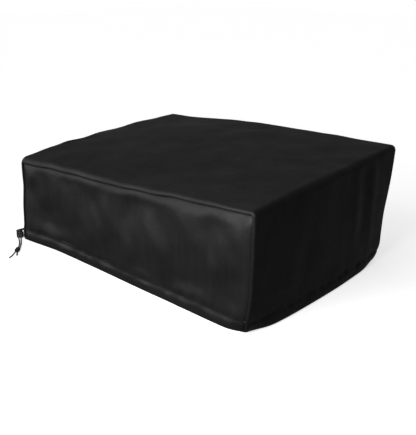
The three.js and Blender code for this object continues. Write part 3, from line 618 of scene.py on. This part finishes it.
def path_length(path):
    return float(np.linalg.norm(np.diff(path, axis=0), axis=1).sum())


TAIL_SPREAD = 0.10, -0.05  # how far each tail turns aside
TAIL_HEIGHTS = (0, 4.6), (0.25, 3.4), (0.5, 2.2), (0.75, 1.9), (1, 1.85)  # share of a tail, height


def strand_points(which):
    """Points of one end of the drawstring: from inside the hem, out of its eyelet, through the lock and
    the knot, to the end of its tail."""
    at, inwards = eyelets[which]
    out = -1 if which else 1
    across = out * STRAND_GAP / 2
    through_hole = lambda depth, forwards=0.0: at + inwards * depth + np.array([0, forwards, 0])
    reach = 13 if which else 7
    held_y = at[1] - out * HELD_END
    near, far = through_hole(-7 - reach * 0.6, -1.5), through_hole(-8 - reach, -9)
    near[2], far[2] = CORD_HEIGHT - 0.4, CORD_HEIGHT - 1.4
    points = [
        np.array([held_x(held_y), held_y, CORD_HEIGHT]), through_hole(3.1, -out * 1.1), through_hole(1.6),
        through_hole(-2), through_hole(-6), near, far, on_table(-20, across * 2.2, STRAND_HEIGHT + 1),
    ]
    points += [on_table(ahead, across * gap + drift, height) for ahead, drift, height, gap in RUN]
    into = on_table(*KNOT_START)
    side = knot_left * out * 1.25
    points += [into + knot_way * k + side for k in (2.5, 7, 11.5)]
    length, turn = TAILS[0 if which else 1]
    way = knot_way * math.cos(turn) - knot_left * math.sin(turn)
    way = way + knot_left * TAIL_SPREAD[1 if which else 0]
    way /= np.linalg.norm(way)
    start = into + knot_way * (KNOT_LONG + 1.2) + side * 1.4
    for share, height in TAIL_HEIGHTS:
        p = start + way * length * share
        p[2] = height
        points.append(p)
    return points


def make_strand(which, name, *nodes):
    points = strand_points(which)
    path = spread(points, 0.42)
    into = on_table(*KNOT_START)
    in_knot = (path - into) @ knot_way
    squeezed = smooth((in_knot + 1.5) / 4) * smooth((KNOT_LONG + 2.5 - in_knot) / 4)
    radius = lerp(CORD_R, KNOT_CORD_R, squeezed)
    end = np.linspace(0, 1, len(path))[::-1] * path_length(path)
    frayed = 0.28 * bell(end, 1.2)  # the cut end is melted, and a little wider
    obj = mesh_object(name, *tube(path, radius + frayed - 0.12, 16, 0.14, phase=which * 0.9))
    finish_piece(obj, CORD_MATERIAL, "cover", "cord", *nodes)
    return obj, path


def knot_mesh():
    """The overhand knot tied in both cords together: two turns lie around them, then pass under."""
    middle = on_table(*KNOT_START) + knot_way * (KNOT_LONG / 2 + 0.3)
    parts = []
    for k, shift in enumerate((-1.15, 1.15)):
        t = np.linspace(0, 1, 90)
        a = 2 * np.pi * (1.55 * t) + 0.6
        out = 3.55 - 2.3 * smooth((0.12 - t) / 0.12) - 2.3 * smooth((t - 0.88) / 0.12)
        ahead = lerp(-3.6, 3.6, smooth(t) * 0.5 + t * 0.5) + shift
        path = middle + knot_way * ahead[:, None] + (
            knot_left * np.cos(a)[:, None] + UP * np.sin(a)[:, None]
        ) * out[:, None]
        parts.append(tube(path, KNOT_CORD_R + 0.05, 14, 0.1, phase=k))
    t = np.linspace(0, 1, 60)
    a = 2 * np.pi * (0.62 * t) + 2.4
    for shift in (-1.1, 1.1):
        path = middle + knot_way * (lerp(4.6, -4.4, t) + shift)[:, None] + (
            knot_left * np.cos(a)[:, None] + UP * np.sin(a)[:, None]
        ) * (3.0 + 1.0 * np.sin(np.pi * t))[:, None]
        parts.append(tube(path, KNOT_CORD_R, 14, 0.1))
    return joined(parts)


cord_front, front_path = make_strand(0, "cord_front", "strand_front", "tail_short")
cord_rear, rear_path = make_strand(1, "cord_rear", "strand_rear", "tail_long")
knot = finish_piece(mesh_object("knot_wraps", *knot_mesh()), CORD_MATERIAL, "cover", "cord", "knot")


def held_path():
    """The drawstring's length inside the hem, from one eyelet round the cover to the other."""
    corner = 7.0
    points = []
    y0, y1 = EYELET_Y[0] - HELD_END, EYELET_Y[1] + HELD_END
    front, rear = front_y(0.0, CORD_HEIGHT), rear_y(0.0, CORD_HEIGHT)
    for y in np.linspace(y0, front + 15, 3):
        points.append((held_x(y), y))
    left, right = side_x(-1, 0.0, CORD_HEIGHT), side_x(1, 0.0, CORD_HEIGHT)
    points.append((left + corner, front + corner))
    for u in np.linspace(0, 1, 40):
        x = lerp(left + 17, right - 17, u)
        points.append((x, front_y((x - left) / (right - left), CORD_HEIGHT) + CORD_DEEP))
    points.append((right - corner - 1.5, front_y(1.0, CORD_HEIGHT) + corner + 1.5))
    for v in np.linspace(0.045, 0.955, 28):
        y = lerp(front_y(1.0, CORD_HEIGHT), rear_y(1.0, CORD_HEIGHT), v)
        points.append((side_x(1, v, CORD_HEIGHT) - CORD_DEEP, y))
    left, right = side_x(-1, 1.0, CORD_HEIGHT), side_x(1, 1.0, CORD_HEIGHT)
    points.append((right - corner - 1, rear_y(1.0, CORD_HEIGHT) - corner - 1))
    for u in np.linspace(1, 0, 40):
        x = lerp(left + 17, right - 17, u)
        points.append((x, rear_y((x - left) / (right - left), CORD_HEIGHT) - CORD_DEEP))
    points.append((left + corner + 1, rear - corner - 1))
    for y in np.linspace(rear - 19, y1, 28):
        points.append((held_x(y), y))
    return spread([(float(x), float(y), CORD_HEIGHT) for x, y in points], 2.0)


drawstring_path = held_path()
drawstring = mesh_object("drawstring_held", *tube(drawstring_path, CORD_R, 12, 0.1))
finish_piece(drawstring, CORD_MATERIAL, "cover", "cord", "drawstring")

# ------------------------------------------------------------------ cord lock's spring
SPRING_R, SPRING_WIRE_R, SPRING_TURNS = 2.1, 0.22, 3.5
SPRING_LOW, SPRING_HIGH = 1.14, 4.56
t = np.linspace(0, 1, 150)
turn_angle = 2 * np.pi * SPRING_TURNS * t
coil = LOCK_AT + np.stack([
    SPRING_R * np.cos(turn_angle), SPRING_R * np.sin(turn_angle), lerp(SPRING_LOW, SPRING_HIGH, t)
], axis=1)
spring = mesh_object("spring_wire", *tube(coil, SPRING_WIRE_R, 12))
finish_piece(spring, STEEL_MATERIAL, "cord_lock", "spring_steel", "lock_spring")
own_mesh(spring)

for name, material in (
    ("lock_barrel", PLASTIC_MATERIAL), ("lock_plunger", PLASTIC_MATERIAL), ("eyelet_front", METAL_MATERIAL),
    ("eyelet_rear", METAL_MATERIAL), ("eyelet_front_washer", METAL_MATERIAL),
    ("eyelet_rear_washer", METAL_MATERIAL),
):
    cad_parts[name].data.materials.clear()
    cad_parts[name].data.materials.append(material)

# ------------------------------------------------------------------ wrap panel
SEAM_TURN = 1.2  # radius with which the cloth turns into a seam
SEAM_DEEP = 11  # how far the seam allowance reaches into the cover
PLY_GAP = 0.4
DEPTH_COLUMNS = 104
PANEL_INSET = SEAM_TURN + 0.75  # from the seam roll to the front or rear panel's allowance
BORDER = (
    [(SEAM_DEEP, "deep"), (7, "deep"), (3.4, "deep")]
    + [(a, "turn") for a in np.radians((90, 60, 30))]
    + [(a, "roll") for a in np.radians((90, 78, 66, 54, 42, 30, 18, 8, 0))]
)


def border_offsets(station):
    """Behind the face, and inwards, from the end of the seam allowance to where the roll starts."""
    r, turned = seam_roll(station), station[4]
    short = (1 - turned) * (max(0.0, station[2]) + PLY_GAP) if station[0] == "hem" else 0.0
    out = []
    for k, (value, kind) in enumerate(BORDER):
        if kind == "deep":
            behind, inset = value, r + SEAM_TURN
        elif kind == "turn":
            behind, inset = SEAM_TURN * (1 - math.cos(value)), r + SEAM_TURN * math.sin(value)
        else:
            behind, inset = r * (1 - math.sin(value)), r * (1 - math.cos(value))
        flat = short + 0.55 * k
        out.append((lerp(flat, behind, turned), inset * turned))
    return out


def wrap_columns(station):
    border = border_offsets(station)
    front, back = station_face(station, False), station_face(station, True)
    start = border[-1][0]
    width = back - front - 2 * start
    k = np.linspace(0, 1, DEPTH_COLUMNS + 1)[1:-1]
    k = lerp(k, (1 - np.cos(np.pi * k)) / 2, 0.45)
    inner = start + width * k
    behind = [b for b, _ in border] + list(inner)
    rear = [-max(b, 0.001) for b, _ in border[::-1]]  # never 0, which would be at the front
    inset = [i for _, i in border] + [0] * len(inner) + [i for _, i in border[::-1]]
    return np.array(behind + rear), np.array(inset)


wrap_base = section_grid(wrap_columns)
wrap_kinds = np.array([s[0] for s in STATIONS])


def pucker(p, level, depth=1.0):
    """Gathers along the hem stitching: the cloth dips at the stitches, unevenly."""
    lane = bell(p[..., 2] - level, 6.5)
    wave = np.clip(0.55 + 0.75 * fine_dents(p), 0, 1.8)
    return depth * lane * wave


def wrap_shape(grid):
    n = normals_of(grid)
    centre = np.array([CENTRE_X, CENTRE_Y, 90])
    if ((grid - centre) * n)[HEM_ROWS:-HEM_ROWS].sum() < 0:
        n = -n
    y = grid[..., 1]
    v = clamp01((y - (CENTRE_Y + FRONT_Y[0])) / (REAR_Y[0] - FRONT_Y[0]))
    z = grid[..., 2]
    middle_fade = smooth(v / 0.07) * smooth((1 - v) / 0.07)
    side_right = ((grid[..., 0] > 0) & (wrap_kinds[:, None] != "top")).astype(float)
    side_left = ((grid[..., 0] < 0) & (wrap_kinds[:, None] != "top")).astype(float)
    rise = smooth((z - 22) / 40) * smooth((225 - z) / 30)
    folds = 2.6 * bell(v - (0.68 + 0.10 * (1 - z / 220)), 0.045)
    folds = folds + 2.2 * bell(v - (0.83 + 0.05 * (1 - z / 220)), 0.035)
    folds = folds - 1.6 * bell(v - 0.76, 0.04) - 1.2 * bell(v - 0.55, 0.06)
    folds = folds + 1.0 * bell(v - 0.22 - 0.1 * z / 220, 0.05)
    other = 1.8 * bell(v - (0.25 + 0.1 * (1 - z / 200)), 0.05)
    other = other - 1.4 * bell(v - 0.38, 0.05) + 1.5 * bell(v - 0.72, 0.06)
    height = side_right * rise * middle_fade * folds + side_left * rise * middle_fade * other
    turned = np.array([s[4] for s in STATIONS])[:, None] > 0.5
    outer = np.isin(wrap_kinds, ("side", "hem"))[:, None] & turned
    height = height - np.where(outer, pucker(grid, STITCH_HEIGHT - 1, 1.6) * middle_fade, 0)
    return grid + n * height[..., None] + cloth_waves(grid)


wrap_grid = wrap_shape(wrap_base)
rows, columns = wrap_grid.shape[:2]


def eyelet_holes(grid):
    """Opens the outer ply of the left hem at each eyelet: the cells to leave out."""
    out = np.zeros((grid.shape[0] - 1, grid.shape[1] - 1), bool)
    outer = np.array([s[0] == "hem" and s[1] < 0 and s[4] > 0.5 for s in STATIONS])
    for at, inwards in eyelets:
        d = grid - at
        d = d - (d @ inwards)[..., None] * inwards
        middle = (d[:-1, :-1] + d[1:, :-1] + d[:-1, 1:] + d[1:, 1:]) / 4
        out |= (np.linalg.norm(middle, axis=2) < EYELET_HOLE) & outer[:-1, None]
        r = np.linalg.norm(d, axis=2, keepdims=True)
        inside = (r < EYELET_HOLE) & outer[:, None, None]
        grid += np.where(inside, d * (EYELET_HOLE / np.maximum(r, 0.3) - 1), 0)
    return out


holes = eyelet_holes(wrap_grid)
wrap_faces = grid_faces(rows, columns, lambda i, j: holes[i, j])
wrap = mesh_object("wrap_cloth", wrap_grid.reshape(-1, 3), wrap_faces, arc_uv(wrap_base))

# ------------------------------------------------------------------ front and rear panels
first_side = HEM_ROWS
corner_left = HEM_ROWS + SIDE_ROWS - 1 + ROLL_ROWS // 2
corner_right = len(STATIONS) - 1 - corner_left


def rim_points(rear):
    """The seam line of the front or rear panel beside each station, as x and z."""
    edge = -0.0001 if rear else 0.0
    grid = section_grid(lambda s: (np.array([edge]), np.array([(seam_roll(s) + PANEL_INSET)])))
    return grid[:, 0][:, [0, 2]]


def refine(count, near, start=True, end=True):
    """Row numbers with more of them close to the ends."""
    inner = [float(k) for k in range(count)]
    extra = [k for k in near] if start else []
    far = [count - 1 - k for k in near] if end else []
    return np.array(sorted(set(inner + extra + far)))


def sample(grid, rows_at, columns_at):
    i = np.clip(np.floor(rows_at).astype(int), 0, grid.shape[0] - 2)
    j = np.clip(np.floor(columns_at).astype(int), 0, grid.shape[1] - 2)
    fi, fj = (rows_at - i)[:, None], (columns_at - j)[None, :]
    a, b = grid[np.ix_(i, j)], grid[np.ix_(i, j + 1)]
    c, d = grid[np.ix_(i + 1, j)], grid[np.ix_(i + 1, j + 1)]
    return lerp(lerp(a, b, fj), lerp(c, d, fj), fi)


# The pillow edge of a panel beside its seams: how deep the seam lies, and how wide the turned band is,
# at the left, over the top (left to right) and at the right.
FRONT_EDGE = {"left": (2.2, 8), "top": ([2.8, 3.8, 5.8, 8.6], [8, 9, 13, 21]), "right": (5.6, 13)}
REAR_EDGE = {"left": (2.6, 9), "top": ([3.0, 3.0, 3.0, 3.0], [12, 12, 12, 12]), "right": (2.6, 9)}
LIP = 1.5  # the last bit beside the seam turns in sharply
LIP_DEEP = 1.6


def edge_depth(distance, deep, wide):
    t = clamp01(1 - distance / wide)
    return deep * lerp(t**2, t, 0.55)


def end_panel(name, rear):
    rims = rim_points(rear)
    side_slice = slice(first_side, corner_left + 1)
    left = rims[side_slice]
    right = rims[corner_right : len(STATIONS) - first_side][::-1]
    top = rims[corner_left : corner_right + 1]
    v = 1.0 if rear else 0.0
    sign = -1 if rear else 1
    share = (top[:, 0] - top[0, 0]) / (top[-1, 0] - top[0, 0])
    high = (left[:, 1] - left[0, 1]) / (left[-1, 1] - left[0, 1])
    x = lerp(left[:, :1], right[:, :1], share[None, :])
    z = lerp(left[:, 1:], right[:, 1:], share[None, :])
    z = z + (top[:, 1] - z[-1])[None, :] * high[:, None]
    rows_at = refine(len(left), (0.06, 0.14, 0.25, 0.4, 0.6, 1.3, 1.6), start=False)
    columns_at = refine(len(top), (0.08, 0.2, 0.35, 0.55, 1.4, 2.5), True, True)
    x, z = sample(x, rows_at, columns_at), sample(z, rows_at, columns_at)
    left_x, right_x, top_line = x[:, :1], x[:, -1:], z[-1:]
    u_flat = (x - left_x) / (right_x - left_x)
    # the hem below it
    hem_x, hem_z, hem_o, hem_turn = [], [], [], []
    for k, (o, height) in enumerate(hem_curve[:-1]):
        turned = hem_turned(k)
        short = (1 - turned) * (max(0.0, o) + PLY_GAP)
        a = side_x(-1, v, height) + turned * (SEAM_ROLL_LEFT + PANEL_INSET) + short
        b = side_x(1, v, height) - turned * (SEAM_ROLL_RIGHT + PANEL_INSET) - short
        hem_x.append(lerp(a, b, u_flat[0]))
        hem_z.append(np.full(x.shape[1], height))
        hem_o.append(np.full(x.shape[1], o))
        hem_turn.append(np.full(x.shape[1], turned))
    hem_count = len(hem_x)
    x = np.vstack([hem_x, x])
    z = np.vstack([hem_z, z])
    o = np.vstack([hem_o, lerp(hem_curve[-1][0], 0, smooth((z[hem_count:] - STITCH_HEIGHT) / 6))])
    turned = np.vstack([hem_turn, np.ones_like(z[hem_count:])])
    far_left, far_right = side_x(-1, v, z), side_x(1, v, z)
    u = clamp01((x - far_left) / (far_right - far_left))
    face = (rear_y if rear else front_y)(u, z)
    edge = REAR_EDGE if rear else FRONT_EDGE
    d_left, d_right = x - x[:, :1], x[:, -1:] - x
    d_top = np.maximum(top_line - z, 0)
    knots = np.linspace(0, 1, 4)
    fade_down = lerp(0.45, 1.0, smooth((z - 40) / 110))
    depth = np.stack([
        edge_depth(d_left, edge["left"][0], edge["left"][1]) * turned,
        edge_depth(d_right, edge["right"][0] * fade_down, edge["right"][1]) * turned,
        edge_depth(d_top, np.interp(u, knots, edge["top"][0]), np.interp(u, knots, edge["top"][1])),
    ])
    nearest = np.minimum(np.minimum(d_left, d_right), d_top)
    lip = LIP_DEEP * clamp01(1 - nearest / LIP) ** 2 * turned
    depth = (depth**3).sum(axis=0) ** (1 / 3) + lip
    y = face + sign * (o + depth)
    base = np.stack([x, y, z], axis=2)
    # dents and gathers on the face
    fade = smooth(nearest / 25)
    grid = base.copy()
    outer = turned > 0.5
    gathers = pucker(base, STITCH_HEIGHT - 1, 1.6) * smooth(np.minimum(d_left, d_right) / 20)
    grid[..., 1] += sign * np.where(outer, gathers, 0)
    dents = front_dents(base) if not rear else rear_dents(base)
    grid[..., 1] += sign * fade * smooth((z - HEM_TOP) / 30) * dents
    # seam allowances, turned into the cover
    uv = arc_uv(base).reshape(*base.shape[:2], 2)
    moved = grid + cloth_waves(grid)
    allow = [1.6, 5.5, SEAM_DEEP]

    rim_turn = turned[:, 0]

    def turned_in(line, steps):
        out = []
        for step in steps:
            p = line.copy()
            p[:, 1] += sign * (step * rim_turn)
            out.append(p)
        return out

    left_in = np.stack(turned_in(moved[:, 0], allow[::-1]), axis=1)
    right_in = np.stack(turned_in(moved[:, -1], allow), axis=1)
    body = np.concatenate([left_in, moved, right_in], axis=1)
    top_rows = []
    for step in allow:
        line = body[-1].copy()
        line[:, 1] += sign * step
        top_rows.append(line)
    full = np.concatenate([body, np.stack(top_rows)], axis=0)
    uv_left = np.stack([uv[:, 0] - [step, 0] for step in allow[::-1]], axis=1)
    uv_right = np.stack([uv[:, -1] + [step, 0] for step in allow], axis=1)
    uv_full = np.concatenate([uv_left, uv, uv_right], axis=1)
    uv_top = np.stack([uv_full[-1] + [0, step] for step in allow])
    uv_full = np.concatenate([uv_full, uv_top], axis=0)
    extra, r, c = len(allow), *full.shape[:2]
    skip = lambda i, j: (i >= r - 1 - extra) & ((j < extra) | (j >= c - 1 - extra))
    obj = mesh_object(name, full.reshape(-1, 3), grid_faces(r, c, skip), uv_full.reshape(-1, 2))
    return obj, moved, hem_count


dent_wide = ripples(41, 95)
dent_small = ripples(42, 48)
dent_rear = ripples(43, 90)


def front_dents(p):
    """Slack in the front panel, more of it towards the right."""
    u = clamp01((p[..., 0] + 300) / 600)
    return lerp(1.3, 2.3, u) * dent_wide(p) + lerp(0.5, 0.95, u) * dent_small(p)


def rear_dents(p):
    return 1.3 * dent_rear(p) + 0.4 * dent_small(p)


front, front_grid, front_hem = end_panel("front_cloth", False)
rear, rear_grid, rear_hem = end_panel("rear_cloth", True)
for cloth in (wrap, front, rear):
    bpy.context.view_layer.objects.active = cloth
    thicken(cloth)
    mesh = cloth.data
    z = np.zeros(len(mesh.vertices) * 3, np.float32)
    mesh.vertices.foreach_get("co", z)
    z[2::3] = np.maximum(z[2::3], 0)  # the hem stands on the table
    mesh.vertices.foreach_set("co", z)
    mesh.update()

finish_piece(wrap, CLOTH_MATERIAL, "cover", "cloth", "wrap_panel")
finish_piece(front, CLOTH_MATERIAL, "cover", "cloth", "front_panel")
finish_piece(rear, CLOTH_MATERIAL, "cover", "cloth", "rear_panel")


# ------------------------------------------------------------------ seam tapes, inside
TAPE_SECTION = [
    (5.5, 0.4), (8, 0.35), (11, 0.45), (11.9, 0.8), (12.2, 1.6),
    (11.9, 2.4), (11, 2.75), (8, 2.85), (5.5, 2.8),
]
TAPE_THICK = 0.4


def seam_tape(name, rear):
    """Tape folded over the edges of the seam allowance."""
    sign = -1 if rear else 1
    deep = np.array([sign * d for d, _ in TAPE_SECTION], float)
    grid = section_grid(lambda s: (deep, seam_roll(s) + np.array([i for _, i in TAPE_SECTION])))
    grid = grid[HEM_ROWS + 3 : -HEM_ROWS - 3]
    grid = grid + cloth_waves(grid)
    r, c = grid.shape[:2]
    tape = mesh_object(name, grid.reshape(-1, 3), grid_faces(r, c), arc_uv(grid))
    thicken(tape, TAPE_THICK)
    binding = "rear_seam_binding" if rear else "front_seam_binding"
    finish_piece(tape, TAPE_MATERIAL, "cover", "tape", binding)
    return grid


front_tape_grid = seam_tape("front_tape", False)
rear_tape_grid = seam_tape("rear_tape", True)

# ------------------------------------------------------------------ sewing threads
THREAD_R = 0.26
STITCH, STITCH_GAP = 3.0, 0.7


def stitches(line, out):
    """Lockstitches along a line of points: short bowed lengths of thread on the cloth's face."""
    length = np.concatenate([[0], np.cumsum(np.linalg.norm(np.diff(line, axis=0), axis=1))])
    at = lambda d: np.stack([np.interp(d, length, line[:, k]) for k in range(3)], axis=-1)
    facing = lambda d: np.stack([np.interp(d, length, out[:, k]) for k in range(3)], axis=-1)
    parts = []
    for start in np.arange(4, length[-1] - 4 - STITCH, STITCH + STITCH_GAP):
        d = start + STITCH * np.array([0, 0.12, 0.35, 0.65, 0.88, 1])
        lift = np.array([-0.5, 0.05, 0.22, 0.22, 0.05, -0.5])
        parts.append(tube(at(d) + facing(d) * (CLOTH / 2 + lift)[:, None], THREAD_R, 6))
    return parts


def steady(way, count):
    return np.tile(np.array(way, float), (count, 1))


hem_threads = []
for row, way in ((HEM_ROWS - 1, -1), (len(STATIONS) - HEM_ROWS, 1)):
    line = wrap_grid[row, len(BORDER) : -len(BORDER)]
    hem_threads += stitches(line, steady((way, 0, 0), len(line)))
for grid, hem_count, way in ((front_grid, front_hem, -1), (rear_grid, rear_hem, 1)):
    line = grid[hem_count - 1]
    hem_threads += stitches(line, steady((0, way, 0), len(line)))
hem_thread = mesh_object("hem_thread", *joined(hem_threads))
finish_piece(hem_thread, THREAD_MATERIAL, "cover", "cord")
seam_threads = []
for grid in (front_tape_grid, rear_tape_grid):
    for column in (1, len(TAPE_SECTION) - 2):
        line = grid[:, column]
        n = normals_of(grid)[:, column]
        away = line - grid[:, len(TAPE_SECTION) - 1 - column]
        away /= np.linalg.norm(away, axis=1, keepdims=True)
        seam_threads += stitches(line, away * 0.9)
seam_thread = mesh_object("seam_thread", *joined(seam_threads))
finish_piece(seam_thread, THREAD_MATERIAL, "cover", "cord")

# ------------------------------------------------------------------ light, floor and surroundings
def make_floor():
    reach, below = 6000, 0.2
    points = [(x * reach, y * reach, -below) for x, y in ((-1, -1), (1, -1), (1, 1), (-1, 1))]
    floor = mesh_object("floor", points, [(0, 1, 2, 3)])
    material, tree, shader = new_material("floor")
    shader.inputs["Base Color"].default_value = (0.86, 0.86, 0.86, 1)
    shader.inputs["Emission Color"].default_value = (1, 1, 1, 1)
    shader.inputs["Emission Strength"].default_value = 0.62
    shader.inputs["Roughness"].default_value = 0.9
    shader.inputs["Specular IOR Level"].default_value = 0.1
    floor.data.materials.append(material)
    floor.visible_glossy = floor.visible_diffuse = False  # it stays out of the cloth's sheen


def soft_sun(name, way, strength, spread):
    """Even light from the given way. spread is how wide its source looks, in degrees."""
    data = bpy.data.lights.new(name, "SUN")
    data.energy = strength
    data.angle = math.radians(spread)
    light = bpy.data.objects.new(name, data)
    light.rotation_euler = Vector(way).to_track_quat("Z", "Y").to_euler()
    bpy.context.scene.collection.objects.link(light)


def panel_light(name, at, aim, power, size):
    """A square soft light at a point, in metres, facing another."""
    data = bpy.data.lights.new(name, "AREA")
    data.energy, data.size = power, size
    light = bpy.data.objects.new(name, data)
    light.location = at
    light.rotation_euler = (Vector(at) - Vector(aim)).to_track_quat("Z", "Y").to_euler()
    bpy.context.scene.collection.objects.link(light)


def make_world(ambient):
    world = bpy.data.worlds.new("studio")
    bpy.context.scene.world = world
    world.use_nodes = True
    tree = world.node_tree
    background = tree.nodes["Background"]
    path = node(tree, "ShaderNodeLightPath")
    seen = maths(tree, "MULTIPLY", path.outputs["Is Camera Ray"], 1.0 - ambient)
    strength = maths(tree, "ADD", seen, ambient)
    tree.links.new(strength, background.inputs["Strength"])
    background.inputs["Color"].default_value = (1, 1, 1, 1)


make_floor()
make_world(0.16)
soft_sun("key", (-0.65, -0.74, 0.24), 1.9, 40)
soft_sun("side", (-0.5, -0.33, 0.75), 0.35, 60)
soft_sun("top", (0.35, -0.1, 0.95), 0.15, 80)
panel_light("fill", (0.30, -0.72, 0.36), (0.28, -0.2, 0.12), 6.5, 0.4)
bpy.context.scene.view_settings.view_transform = "Standard"
